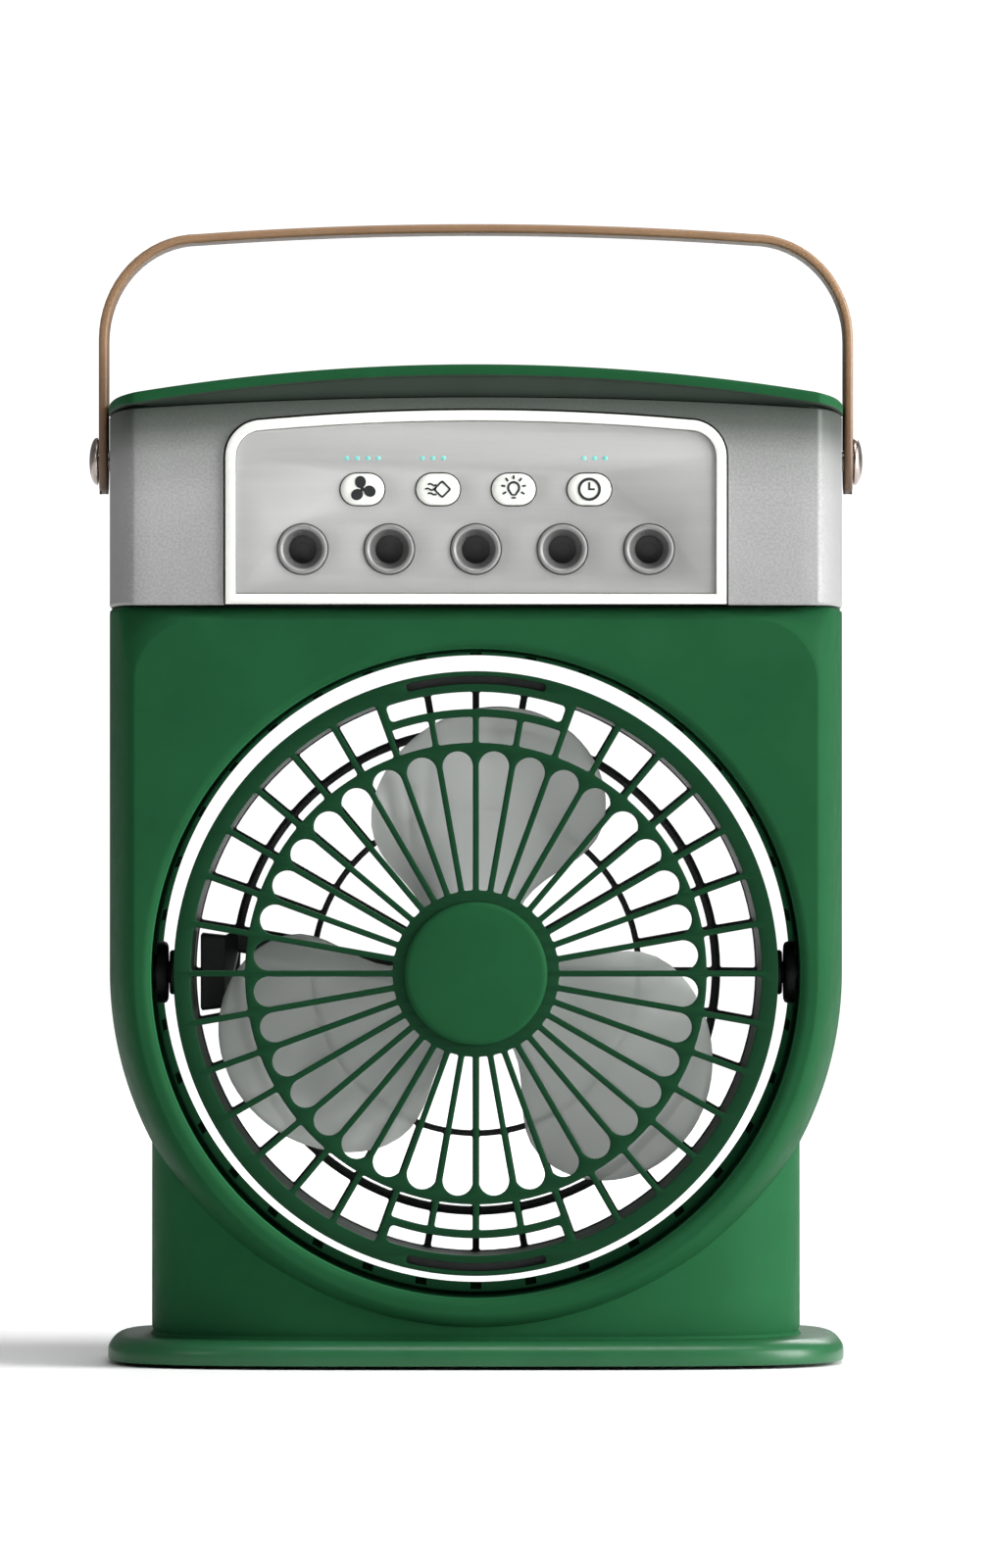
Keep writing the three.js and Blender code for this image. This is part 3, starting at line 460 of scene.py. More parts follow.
def frosted():
    """Frosted tank plastic: grey, softly translucent, with the pitted skin of a blasted mould, a painted
    shadow under the lid's arched top and painted shade towards its sides.
    """
    n = Nodes("frosted_plastic")
    speck = n.noise(1700, 3, 0.75)
    base = n.mottle(n.noise(26, 4), (0.33, 0.333, 0.33), (0.39, 0.393, 0.39))
    dots = n.ramp(speck, (0.4, grey(0.8)), (0.6, grey(1)))
    dark, middle, light = (0.12, 0.15, 0.12), (0.24, 0.27, 0.24), (0.76, 0.77, 0.76)
    # painted shadow: the tank darkens under the lid's arched top, as if shaded by the lid with its lip
    # showing through the wall
    lid_shadow = n.ramp(n.below_arch(), (0.0, dark), (0.22, middle), (0.55, light), (1.0, grey(1)))
    # painted shade: the tank darkens towards its two sides
    side = n.ramp(n.spread(n.distance((1, 0, 0)), 0, 1, 0.0765, 0.082), (0, grey(1)), (1, grey(0.8)))
    return n.finish(
        Base_Color=n.multiply(n.multiply(n.multiply(base, dots), lid_shadow), side),
        Roughness=n.spread(speck, 0.45, 0.62),
        Normal=n.bump(speck, 0.5, 0.00005),
        Transmission_Weight=0.08,
        IOR=1.49,
        Specular_IOR_Level=0.4,
    )


def satin_plate():
    """Fine satin paint on the panel: long faint strokes along X, a speckled sparkle and a painted reflection
    that lightens it towards the upper left.
    """
    n = Nodes("satin_silver")
    strokes = n.noise(260, 6, 0.7, (0.05, 1, 1))
    speck = n.noise(1900, 2, 0.7)
    # painted reflection: lighter towards the upper left, darker towards the lower right
    painted_reflection = n.ramp(n.spread(n.along((-6.5, 0, 12)), 0, 1, 1.9, 2.9), (0, grey(0.54)), (1, grey(1)))
    return n.finish(
        Base_Color=n.multiply(n.mottle(strokes, (0.46, 0.46, 0.455), (0.5, 0.5, 0.495)), painted_reflection),
        Roughness=n.spread(speck, 0.48, 0.62),
        Normal=n.bump(strokes, 0.3, 0.00003, Normal=n.bump(speck, 0.3, 0.00002)),
        Metallic=0.15,
    )


def metal(name, colour, stretch):
    n = Nodes(name)
    lines = n.noise(900, 4, 0.6, stretch)
    return n.finish(
        Base_Color=n.mottle(lines, shade(colour, 0.86), shade(colour, 1.08)),
        Roughness=n.spread(lines, 0.23, 0.4),
        Normal=n.bump(lines, 0.3, 0.00003),
        Metallic=1.0,
    )


def smoky_blade():
    """Translucent smoke-grey blades with faint flow lines."""
    n = Nodes("smoky_blade_plastic")
    return n.finish(
        Base_Color=n.mottle(n.noise(30, 4), (0.74, 0.77, 0.74), (0.8, 0.83, 0.8)),
        Roughness=n.spread(n.noise(180, 3), 0.28, 0.4),
        Normal=n.bump(n.noise(900, 2), 0.25, 0.00002),
        Alpha=0.82,
        IOR=1.49,
    )


def leather(name, dark, light):
    """Smooth strap leather: pebbled grain, rubbed lighter patches, and painted shade that darkens it towards
    its ends, beside the body.
    """
    n = Nodes(name)
    grain = n.noise(620, 5, 0.7)
    patches = n.ramp(n.noise(42, 5), (0.28, dark), (0.72, light))
    # painted shade: the strap darkens low down, towards its ends beside the body
    height = n.spread(n.along((0, 0, 1)), 0, 1, 0.200, 0.240)
    ends = n.ramp(height, (0.0, (0.42, 0.42, 0.46)), (0.45, (0.6, 0.55, 0.55)), (0.9, grey(1)))
    pebble = n.bump(n.cells(1500, feature="SMOOTH_F1"), 0.35, 0.00012)
    return n.finish(
        Base_Color=n.multiply(patches, ends),
        Roughness=n.spread(grain, 0.42, 0.62),
        Normal=n.bump(grain, 0.35, 0.00008, Normal=pebble),
        Coat_Weight=0.12,
        Coat_Roughness=0.35,
    )


def circuit_board():
    n = Nodes("circuit_board")
    cells = n.cells(420, distance="CHEBYCHEV")
    return n.finish(
        Base_Color=n.ramp(cells, (0.25, (0.10, 0.20, 0.08)), (0.4, (0.012, 0.11, 0.05))),
        Roughness=n.spread(n.noise(400), 0.3, 0.5),
        Normal=n.bump(cells, 0.3, 0.0001),
    )


def cotton():
    n = Nodes("pressed_cotton")
    fibre = n.noise(1300, 5, 0.75, (1, 0.25, 1))
    colour = n.mottle(fibre, (0.66, 0.63, 0.56), (0.84, 0.82, 0.76))
    return n.finish(Base_Color=colour, Normal=n.bump(fibre, 0.8, 0.0003), Roughness=0.95, Sheen_Weight=0.3)


def led_glow():
    n = Nodes("led_glow")
    glow = n.noise(900, 2)
    return n.finish(
        Base_Color=n.mottle(glow, (0.12, 0.42, 0.38), (0.2, 0.52, 0.47)),
        Roughness=n.spread(glow, 0.25, 0.4),
        Emission_Color=(0.2, 0.8, 0.7, 1),
        Emission_Strength=0.12,
    )


MATERIALS = {
    "green": plastic("green_plastic", (0.0115, 0.07, 0.026), gloss=0.02),
    "foot_green": plastic("foot_green_plastic", (0.0155, 0.098, 0.037), 0.34, 0.3, grain=0.000006),
    "column_green": plastic("column_green_plastic", (0.0145, 0.088, 0.033), gloss=0.02),
    "guard_green": plastic("guard_green_plastic", (0.0068, 0.037, 0.0152), 0.42, 0.04),
    # painted light: a lighter copy of the green for the tunnel wall, which gets little light
    "tunnel": plastic("tunnel_painted_light", (0.022, 0.115, 0.048), 0.62, 0),
    "notch": plastic("notch_shade", (0.003, 0.011, 0.006), 0.8, 0),
    # painted shade: a dark grey for the lid's lower faces, where the green lies in shade
    "lid_under_shade": plastic("lid_underside_shade", (0.034, 0.047, 0.036), 0.7, 0.1),
    "black": plastic("black_plastic", (0.008, 0.011, 0.010), variation=0.15, grain=0.00004),
    "rubber": plastic("foot_rubber", (0.016, 0.016, 0.017), 0.85, 0.5, 0.2, 0.00006, 1500),
    "cone": plastic("nozzle_cone_shade", (0.1, 0.1, 0.099), 0.3, variation=0.05),
    "disc": plastic("disc_grey", (0.1, 0.101, 0.1)),
    "white": plastic("white_plastic", (0.76, 0.775, 0.73), 0.3, variation=0.015),
    "icon": plastic("icon_ink", (0.01, 0.011, 0.012), 0.45, variation=0.1),
    "nozzle": plastic("nozzle_silver", (0.21, 0.21, 0.208), 0.3, variation=0.05),
    "frosted": frosted(),
    "satin": satin_plate(),
    "steel": metal("turned_steel", (0.52, 0.51, 0.5), (1, 0.1, 1)),
    "rivet": metal("rivet_steel", (0.45, 0.39, 0.35), (1, 1, 1)),
    "blade": smoky_blade(),
    "leather": leather("strap_leather", (0.13, 0.062, 0.026), (0.19, 0.095, 0.042)),
    "leather_edge": leather("strap_edge", (0.2, 0.112, 0.055), (0.27, 0.155, 0.08)),
    "board": circuit_board(),
    "cotton": cotton(),
    "led": led_glow(),
}


def dress(piece, material, body, slot, *nodes):
    """Gives a piece its material and body, and hides the CAD nodes that it stands for. The finish slot is not
    used.
    """
    piece.data.materials.clear()
    piece.data.materials.append(MATERIALS[material])
    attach(piece, body)
    if nodes:
        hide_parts(*nodes)
    return piece


def paint(piece, material, chosen):
    """A second material on the faces whose middle in millimetres and normal are chosen."""
    piece.data.materials.append(MATERIALS[material])
    index = len(piece.data.materials) - 1
    for face in piece.data.polygons:
        if chosen(face.center / MM, face.normal):
            face.material_index = index


# ---- outlines
def superellipse(half_x, half_y, exponent, z, count=256):
    def stretched(half, share):
        return half * math.copysign(abs(share) ** (2 / exponent), share)

    angles = [2 * math.pi * i / count for i in range(count)]
    return [(stretched(half_x, math.cos(a)), stretched(half_y, math.sin(a)), z) for a in angles]


def body_reach(angle, half_width, top, corner):
    """How far the body's front outline lies from the tunnel's axis in one direction."""
    c, s = math.cos(angle), math.sin(angle)
    height = top - PIVOT.z
    if s <= 0:
        return half_width
    reach = min(half_width / max(abs(c), 1e-9), height / s)
    x, z = reach * abs(c), reach * s
    if x > half_width - corner and z > height - corner:
        cx, cz = half_width - corner, height - corner
        along = cx * abs(c) + cz * s
        reach = along + math.sqrt(max(0.0, along**2 - cx**2 - cz**2 + corner**2))
    return reach


def body_ring(half_width, top, corner, y, least=0.0):
    ring = []
    for angle in ANGLES:
        reach = max(body_reach(angle, half_width, top, corner), least)
        ring.append((reach * math.cos(angle), y, PIVOT.z + reach * math.sin(angle)))
    return ring


def circle_ring(radius, y, groove=0.0):
    """A ring of the tunnel, with a shallow groove every rib step when groove is above 0."""
    ring = []
    for angle in ANGLES:
        from_rib = abs((math.degrees(angle) + RIB_STEP / 2) % RIB_STEP - RIB_STEP / 2)
        reach = radius + (groove if from_rib < 0.8 else 0)
        ring.append((reach * math.cos(angle), y, PIVOT.z + reach * math.sin(angle)))
    return ring


def bulge_section(turn, depth, grow=0.0):
    """Half width, top, corner and Y of the body where its side has turned by an angle from the face."""
    near_face = max(0.0, (math.cos(turn) - 0.87) / 0.13)
    half_width = FLAT_HALF + (BODY_HALF - FLAT_HALF) * math.sin(turn) + grow
    top = FRONT_HIGH.z - FACE_TOP_ROUND * near_face**2 + grow
    corner = SIDE_CORNER + (FACE_CORNER - SIDE_CORNER) * near_face
    return half_width, top, corner, -depth * math.cos(turn)


# ---- foot and column
def make_foot():
    bottom, top = BASE_LOW.z, BASE_HIGH.z
    steps = [(3, bottom), (0.6, bottom), (0.15, bottom + 0.2), (0, bottom + 0.7)]
    steps += [(4.2 * (1 - math.cos(a)), top - 3.4 * (1 - math.sin(a))) for a in quarter(8)] + [(12, top)]
    rings = [superellipse(BASE_HIGH.x - inset, BASE_HIGH.y - inset, 4, z) for inset, z in steps]
    dress(loft("foot_plate", rings), "foot_green", "housing", "green_plastic", "base_plate")


def make_column(drum):
    """The column, with a flare on the foot and a window for the socket, cut by the body above it."""
    foot_top, hidden_end = BASE_HIGH.z, 58
    steps = [(grow - 0.4, foot_top - 0.1 + up) for up, grow in ((0, 0.9), (0.25, 0.35), (0.9, 0))]
    steps += [(0, z) for z in np.linspace(foot_top + 2, hidden_end, 8)]
    column = loft("column", [superellipse(COLUMN_HIGH.x + g, COLUMN_HIGH.y + g, 3.5, z) for g, z in steps])
    low, high = box_mm("usb_socket")
    gap = 0.4
    window = block("usb_window", low.x - gap, high.x + gap, 34, 60, low.z - gap, high.z + gap, 1.2)
    apply_boolean(column, window)
    apply_boolean(column, drum)
    dress(column, "column_green", "housing", "green_plastic", "pedestal")


def make_foot_pads():
    for i in range(1, 5):
        low, high = box_mm(f"rubber_foot_{i}")
        middle = (low + high) / 2
        radius, top = (high.x - low.x) / 2, high.z
        profile = [
            (0, 0.3), (radius - 2.4, 0.3), (radius - 2, 0), (radius - 0.6, 0),
            (radius, 0.5), (radius, top), (0, top),
        ]
        foot = turned(f"foot_pad_{i}", profile, (middle.x, middle.y, 0), "Z")
        dress(foot, "rubber", "housing", "rubber", f"rubber_foot_{i}")


# ---- body shells
def shell_rings(depth, grooved):
    """Rings round the wall of one shell: tunnel, rim, face, side, seam and back along the inside."""
    meet = SEAM * (-0.1 if grooved else 0.15)  # the shells overlap here, so no light comes through the seam
    wall_end = depth - HOLE_ROUND
    tunnel = [(SEAM * 0.3, 0), (3.0, 0)]
    if grooved:
        tunnel += [(3.2, GROOVE), (wall_end - 3, GROOVE), (wall_end - 2.8, 0)]
    rings = [circle_ring(HOLE_RADIUS, -reach, groove) for reach, groove in tunnel + [(wall_end, 0)]]
    for angle in quarter(8)[1:]:
        radius = HOLE_RADIUS + HOLE_ROUND * (1 - math.cos(angle))
        rings.append(circle_ring(radius, -(wall_end + HOLE_ROUND * math.sin(angle))))
    rings.append(circle_ring(HOLE_RADIUS + HOLE_ROUND + 0.25, -depth))
    for degrees in (0, 1.5, 3, 5, 7.5, 10.5, 14, 18, 23, 28, 34, 42, 52, 64, 78):
        rings.append(body_ring(*bulge_section(math.radians(degrees), depth)))
    half_width, top, corner, _ = bulge_section(math.pi / 2, depth)
    rings.append(body_ring(half_width, top, corner, -SEAM))
    rings.append(body_ring(half_width - SEAM, top - SEAM, corner, meet))
    for degrees in (90, 70, 50, 34, 22):
        half_width, top, corner, y = bulge_section(math.radians(degrees), depth - WALL, -WALL)
        rings.append(body_ring(half_width, top, corner, min(y, meet), HOLE_RADIUS + 2.4))
    rings.append(circle_ring(HOLE_RADIUS + 2, rings[-1][0][1]))
    rings.append(circle_ring(HOLE_RADIUS + 2, meet))
    return rings


def mirrored(rings):
    return [[(x, -y, z) for x, y, z in ring] for ring in rings]


def make_shells():
    front = loft("front_casing", shell_rings(BODY_FRONT, False), around=True, smooth_angle=50)
    rear = loft("rear_casing", mirrored(shell_rings(BODY_BACK, True)), around=True, smooth_angle=50)
    for side in ("left", "right"):
        low, high = box_mm(f"shell_screw_{side}")
        middle, sunk = (low + high) / 2, high.y - 2
        profile = [(0, sunk), (3.5, sunk), (3.5, 45.6), (4.1, 46.4), (4.1, 50), (0, 50)]
        apply_boolean(rear, turned("screw_bore", profile, (middle.x, 0, middle.z)), solver="MANIFOLD")
    dress(front, "green", "housing", "green_plastic", "front_shell")
    dress(rear, "green", "housing", "green_plastic", "rear_shell")
    for shell in (front, rear):
        # painted light: the tunnel wall takes the lighter copy of the green
        paint(shell, "tunnel", lambda middle, normal: from_axis(middle) < HOLE_RADIUS + 0.1)

    def in_groove(middle, normal):
        return middle.y < 40 and HOLE_RADIUS + 0.05 < from_axis(middle) < HOLE_RADIUS + GROOVE + 0.05

    # painted shade: the grooves in the rear half of the tunnel get a near-black green
    paint(rear, "notch", in_groove)


def make_drum_cutter():
    """The body's outside as one solid, to cut what it sinks into."""

    def half(depth):
        turns = (0, 3, 7.5, 14, 23, 34, 52, 72, 88)
        return [body_ring(*bulge_section(math.radians(degrees), depth, 0.05)) for degrees in turns]

    return loft("drum_cutter", half(BODY_FRONT) + mirrored(half(BODY_BACK))[::-1])


def make_pivots():
    pin_radius, collar = 2.5, 69.2
    for side, name in ((-1, "left"), (1, "right")):
        near, far, radius = side_part(f"pivot_bush_{name}")
        profile = [
            (2.8, near + 0.4), (3.2, near), (radius - 1, near), (radius - 0.3, near + 0.3),
            (radius, near + 1), (radius, near + 2.6), (4, near + 2.6), (4, far), (2.8, far),
        ]
        bush = turned(f"bush_{name}", profile, PIVOT, "X", side)
        dress(bush, "black", "housing", "black_plastic", f"pivot_bush_{name}")
        near, far, boss = side_part(f"pivot_pin_{name}")
        profile = [
            (0, near), (pin_radius, near), (pin_radius, collar), (boss, collar), (boss, 70),
            (boss - 0.4, 70.4), (pin_radius, 70.4), (pin_radius, far - 0.5), (2, far), (0, far),
        ]
        pin = turned(f"pin_{name}", profile, PIVOT, "X", side)
        dress(pin, "black", "fan_head", "black_plastic", f"pivot_pin_{name}")


# ---- tank, lid and hatch
def plan_ring(half_width, front, back, z_of):
    """The body's plan at one level: flat front and back, bulging sides. z_of gives the height at x."""
    bulge = BODY_HALF - FLAT_HALF
    flat = half_width - bulge
    side = [(flat + bulge * math.sin(a), -front * math.cos(a)) for a in quarter(28)]
    side += [(flat + bulge * math.sin(a), back * math.cos(a)) for a in quarter(28)[-2::-1]]
    across = [(x, back) for x in np.linspace(flat, -flat, 42)[1:-1]]
    left = [(-x, y) for x, y in side[::-1]]
    front_line = [(x, -front) for x in np.linspace(-flat, flat, 42)[1:-1]]
    return [(x, y, z_of(x)) for x, y in side + across + left + front_line]


def plan_rings(half_width, front, back, surface, steps):
    """Rings of the body's plan from pairs of inset and drop below a surface given by x."""
    return [
        plan_ring(half_width - inset, front - inset, back - inset, lambda x, drop=drop: surface(x) - drop)
        for inset, drop in steps
    ]


def lid_top(x):
    return LID_CROWN_TOP - LID_DROP * (x / LID_HIGH.x) ** 2


def tank_top(x):
    return TANK_HIGH.z - TANK_DROP * (x / BODY_HALF) ** 2


def make_tank():
    plan = (BODY_HALF, BODY_FRONT, BODY_BACK)
    outside = [(0, 12), (0, 0.5), (0.15, 0.15), (0.5, 0)]
    inside = [(TANK_WALL - 0.4, 0), (TANK_WALL, 0.4), (TANK_WALL, 12)]
    rings = plan_rings(*plan, lambda x: TANK_LOW.z, [(1.2, 0), (0.35, -0.1), (0, -0.6), (0, -20)])
    rings += plan_rings(*plan, tank_top, outside + inside)
    rings += plan_rings(*plan, lambda x: TANK_LOW.z, [(TANK_WALL, -TANK_WALL)])
    tank = loft("tank_frosted", rings)
    apply_boolean(tank, cut_plate("recess", rounded(panel_points(-0.45), 0.5), [], -60, -30.2, 0))
    dress(tank, "frosted", "housing", "frosted_plastic", "water_tank")


def lid_solid(name):
    """The arched lid as a closed body whose top is a grid that follows the arch."""
    plan, rim = (LID_HIGH.x, -LID_LOW.y, LID_HIGH.y), RIM_THICKNESS
    lower_edge = [(1.5, rim + 0.25), (0.3, rim), (0.06, rim - 0.2), (0, rim - 0.5)]
    upper_edge = [(0, 0.9), (0.15, 0.4), (0.5, 0.1), (1.1, 0), (3, 0)]
    rings = plan_rings(*plan, tank_top, [(7.5, -0.2), (3.2, -0.2), (3.0, -0.5)])
    rings += plan_rings(*plan, lid_top, lower_edge + upper_edge)
    edge = np.array(rings[-1])
    for share in (0.9, 0.78, 0.64, 0.5, 0.36, 0.22, 0.1):
        inner = edge.copy()
        inner[:, :2] *= share
        inner[:, 2] = [lid_top(x) for x in inner[:, 0]]
        rings.append(inner)
    return loft(name, rings)


def hatch_prism(name, grow, bottom):
    """An upright block with the hatch's outline, rounder at its front."""
    half_x = HATCH_HIGH.x + grow
    y0, y1 = HATCH_LOW.y - grow, HINGE.y - 2.5 + grow
    outline = rounded([(-half_x, y0), (half_x, y0), (half_x, y1), (-half_x, y1)], [4, 4, 1.5, 1.5], 6)
    return loft(name, [[(x, y, z) for x, y in outline] for z in (bottom, 240)])


def make_lid():
    lid, leaf = lid_solid("lid_rim"), lid_solid("hatch_leaf")
    below_rim = LID_CROWN_TOP - LID_DROP - RIM_THICKNESS - 0.4
    apply_boolean(lid, hatch_prism("hatch_hole", 0.4, 210))
    apply_boolean(lid, block("notch", -27, 27, HINGE.y - 3, HINGE.y + 2.5, 210, 240))
    apply_boolean(lid, block("well", -70, 70, -40, 38, 200, below_rim, 3))
    apply_boolean(leaf, hatch_prism("hatch_keep", 0, LID_CROWN_TOP - 5.2), "INTERSECT")
    lip = block("lip", -10, 10, HATCH_LOW.y + 0.2, HATCH_LOW.y + 3.4, 227.5, 230.3, 0.9)
    web = block("web", -19.3, 19.3, HINGE.y - 3.4, HINGE.y, 227.4, HINGE.z)
    for part in (lip, web, rod("barrel", 19.5, 1.8, 0.3)):
        apply_boolean(leaf, part, "UNION")
    for x0, x1 in ((-26.5, -19.8), (19.8, 26.5)):
        ear = block("ear", x0, x1, HINGE.y - 2, HINGE.y + 4.3, 226, HINGE.z + 1.8, 0.7)
        apply_boolean(lid, ear, "UNION")

    def shaded_underside(middle, normal):
        return normal.z < -0.2 and middle.z < lid_top(middle.x) - RIM_THICKNESS + 0.1

    dress(lid, "green", "housing", "green_plastic", "tank_lid")
    # painted shade: the lid's downward faces are painted dark grey instead of green
    paint(lid, "lid_under_shade", shaded_underside)
    dress(leaf, "green", "hatch", "green_plastic", "filler_hatch")
    dress(rod("hatch_pin", 26.5, 0.8, 0.2), "steel", "housing", "steel", "hatch_hinge_pin")


# ---- mist panel
def panel_points(inset):
    """The panel's outline: square below, round shoulders and an arched top."""
    half, bottom, corner = PANEL_HIGH.x - inset, PANEL_LOW.z + inset, PANEL_CORNER - inset

    def top(x):
        return PANEL_HIGH.z - inset - PANEL_DROP * (x / PANEL_HIGH.x) ** 2

    edge = half - corner
    centre = top(edge) - corner
    shoulder = [(edge + corner * math.cos(a), centre + corner * math.sin(a)) for a in quarter(12)]
    arch = [(x, top(x)) for x in np.linspace(edge, -edge, 30)[1:-1]]
    return [(-half, bottom), (half, bottom)] + shoulder + arch + [(-x, z) for x, z in shoulder[::-1]]


def ellipse(x, z, half_x, half_z, count=48):
    turn = [2 * math.pi * i / count for i in range(count)]
    return [(x + half_x * math.cos(a), z + half_z * math.sin(a)) for a in turn]


def pill(x, z, half_x, half_z, count=14):
    """A straight-sided oval with round ends."""
    points = []
    for sign in (1, -1):
        for k in range(count + 1):
            a = math.radians(-90 + 180 * k / count)
            reach = half_x - half_z + half_z * math.cos(a)
            points.append((x + sign * reach, z + sign * half_z * math.sin(a)))
    return points


def make_panel():
    surround = cut_plate(
        "panel_surround", panel_points(0), [panel_points(FRAME_WIDTH)], PANEL_LOW.y, PANEL_HIGH.y, 0.35
    )
    dress(surround, "white", "housing", "white_plastic", "panel_frame")
    buttons = [middle_of(f"button_{name}") for name in BUTTONS]
    nozzles = [middle_of(f"mist_nozzle_{i}") for i in range(1, 6)]
    holes = [pill(spot.x, spot.z, 5.25, 3.85) for spot in buttons]
    holes += [ellipse(spot.x, spot.z, 5.85, 5.85) for spot in nozzles]
    face = cut_plate("panel_face", panel_points(FRAME_WIDTH + 0.12), holes, PLATE_LOW.y, PLATE_HIGH.y, 0.2)
    dress(face, "satin", "housing", "silver_plate", "panel_plate")
    for i, spot in enumerate(nozzles, 1):
        make_nozzle(i, spot)


def make_nozzle(i, spot):
    """A nozzle ring with its cone in a darker grey, deepened as painted shade inside the countersink, and the
    disc behind it.
    """
    low, high = box_mm(f"mist_nozzle_{i}")
    depth = high.y - low.y
    profile = [
        (3.2, 2.6), (3.35, 2.2), (4.35, 0.7), (4.5, 0.35), (4.75, 0.12),
        (5.1, 0), (5.4, 0.1), (5.65, 0.45), (5.65, depth), (3.2, depth),
    ]
    ring = turned(f"nozzle_{i}", profile, (spot.x, low.y, spot.z))
    dress(ring, "nozzle", "housing", "silver_plate", f"mist_nozzle_{i}")
    # painted shade: the cone inside the ring is darker, partly its own grey and partly the shade of the
    # countersink
    paint(ring, "cone", lambda middle, normal: math.hypot(middle.x - spot.x, middle.z - spot.z) < 4.6)
    low, high = box_mm(f"atomiser_disc_{i}")
    depth, raised = high.y - low.y, -0.12
    profile = [(0, 0), (1.6, 0), (1.7, raised), (4.7, raised), (4.8, 0), (4.8, depth), (0, depth)]
    disc = turned(f"disc_{i}", profile, (spot.x, low.y, spot.z))
    dress(disc, "disc", "housing", "steel", f"atomiser_disc_{i}")


def thin_icon(name, outlines, body, middle, front):
    """A flat printed symbol just proud of a button, from closed outlines around the button's middle."""
    parts = []
    for k, (outer, holes) in enumerate(outlines):
        centre = (middle.x, middle.z)
        parts.append(cut_plate(f"{name}_{k}", outer, holes, front - 0.09, front + 0.06, 0.0, centre))
    with bpy.context.temp_override(active_object=parts[0], selected_editable_objects=parts):
        bpy.ops.object.join()
    parts[0].name = name
    dress(parts[0], "icon", body, "black_plastic")


def stroke(points, width):
    """An open line as a thin closed outline with square ends."""
    p = np.array(points, float)
    d = np.gradient(p, axis=0)
    d /= np.linalg.norm(d, axis=1, keepdims=True)
    n = np.stack([-d[:, 1], d[:, 0]], axis=1) * width / 2
    return [tuple(q) for q in np.vstack([p + n, (p - n)[::-1]])]


def fan_icon():
    parts = [(ellipse(0, 0, 0.5, 0.5, 20), [])]
    for k in range(3):
        turn = math.radians(90 + 120 * k)
        c, s = math.cos(turn), math.sin(turn)
        parts.append(([(x * c - z * s, x * s + z * c) for x, z in ellipse(1.66, 0.45, 1.4, 1.26, 28)], []))
    return parts


def mist_icon():
    parts = []
    for row, start in ((-1.05, -2.3), (0, -2.9), (1.05, -2.3)):
        x = np.linspace(start, -0.35, 16)
        parts.append((stroke([(a, row + 0.2 * math.sin((a - start) * 3.2)) for a in x], 0.4), []))
    corners = ((1, 0), (0, 1), (-1, 0), (0, -1))
    outer = [(0.95 + 2.15 * c, 2.15 * s) for c, s in corners]
    inner = [(0.95 + 1.55 * c, 1.55 * s) for c, s in corners]
    parts.append((rounded(outer, 0.5), [rounded(inner, 0.35)]))
    return parts


def light_icon():
    lift = 0.35

    def bulb(radius, half_neck, neck_end):
        arc = np.radians(np.arange(-40, 221, 13))
        glass = [(radius * math.cos(a), lift + radius * math.sin(a)) for a in arc]
        return glass + [(-half_neck, neck_end), (half_neck, neck_end)]

    cap = [(-0.5, -2.15), (0.5, -2.15), (0.5, -1.75), (-0.5, -1.75)]
    parts = [(bulb(1.5, 0.55, -1.45), [bulb(1.0, 0.3, -1.1)]), (cap, [])]
    for degrees in range(-30, 211, 40):
        a = math.radians(degrees)
        ray = [(r * math.cos(a), lift + r * math.sin(a)) for r in (1.95, 2.4, 2.85)]
        parts.append((stroke(ray, 0.46), []))
    return parts


def timer_icon():
    outer, inner = ellipse(0, 0, 2.65, 2.65, 44), ellipse(0, 0, 2.02, 2.02, 44)
    hands = [stroke([(0, 1.6), (0, 0.7), (0, -0.2)], 0.44), stroke([(0.2, 0), (0.7, 0), (1.25, 0)], 0.44)]
    return [(outer, [inner])] + [(hand, []) for hand in hands]


# the buttons from left to right, each with its symbol and the places of the lights above it
BUTTONS = {
    "fan": (fan_icon, (0, 1, 2, 3)),
    "mist": (mist_icon, (0, 1, 2)),
    "light": (light_icon, ()),
    "timer": (timer_icon, (1, 2, 3)),
}


def make_buttons():
    light = [(0, -0.12), (0.45, -0.08), (0.6, 0.05), (0.6, 0.3), (0, 0.3)]
    for name, (icon, lights) in BUTTONS.items():
        low, high = box_mm(f"button_{name}")
        middle = (low + high) / 2
        half_x, half_z = (high.x - low.x) / 2, (high.z - low.z) / 2
        rings = []
        for inset, y in ((3.2, 0.0), (1.6, 0.02), (0.8, 0.12), (0.3, 0.35), (0.05, 0.7), (0, 1.1), (0, 3.5)):
            outline = pill(0, 0, half_x - inset, half_z - inset)
            rings.append([(middle.x + x, low.y + y, middle.z + z) for x, z in outline])
        body = f"button_{name}_cap"
        dress(loft(f"button_cap_{name}", rings), "white", body, "white_plastic", f"button_{name}")
        thin_icon(f"icon_{name}", icon(), body, middle, low.y)
        for k in lights:
            place = (middle.x - 3.6 + 2.4 * k, PLATE_LOW.y, middle.z + 7.1)
            dress(turned(f"led_{name}_{k}", light, place, segments=24), "led", "housing", "silver_plate")


# ---- handle
def strap_line():
    """The strap's inner face in X and Z, from the right end over the top to the left end."""
    inner, top = STRAP_HIGH.x - STRAP_THICKNESS, STRAP_HIGH.z - STRAP_THICKNESS
    corner_x, corner_z, crown = 21.0, 22.5, 2.3
    shoulder = inner - corner_x
    points = [(inner, z) for z in np.linspace(STRAP_LOW.z, top - crown - corner_z, 26)[:-1]]
    for a in quarter(16):
        points.append((shoulder + corner_x * math.cos(a), top - crown - corner_z * (1 - math.sin(a))))
    points += [(x, top - crown * (x / shoulder) ** 2) for x in np.linspace(shoulder, 0, 20)[1:]]
    return points + [(-x, z) for x, z in points[-2::-1]]


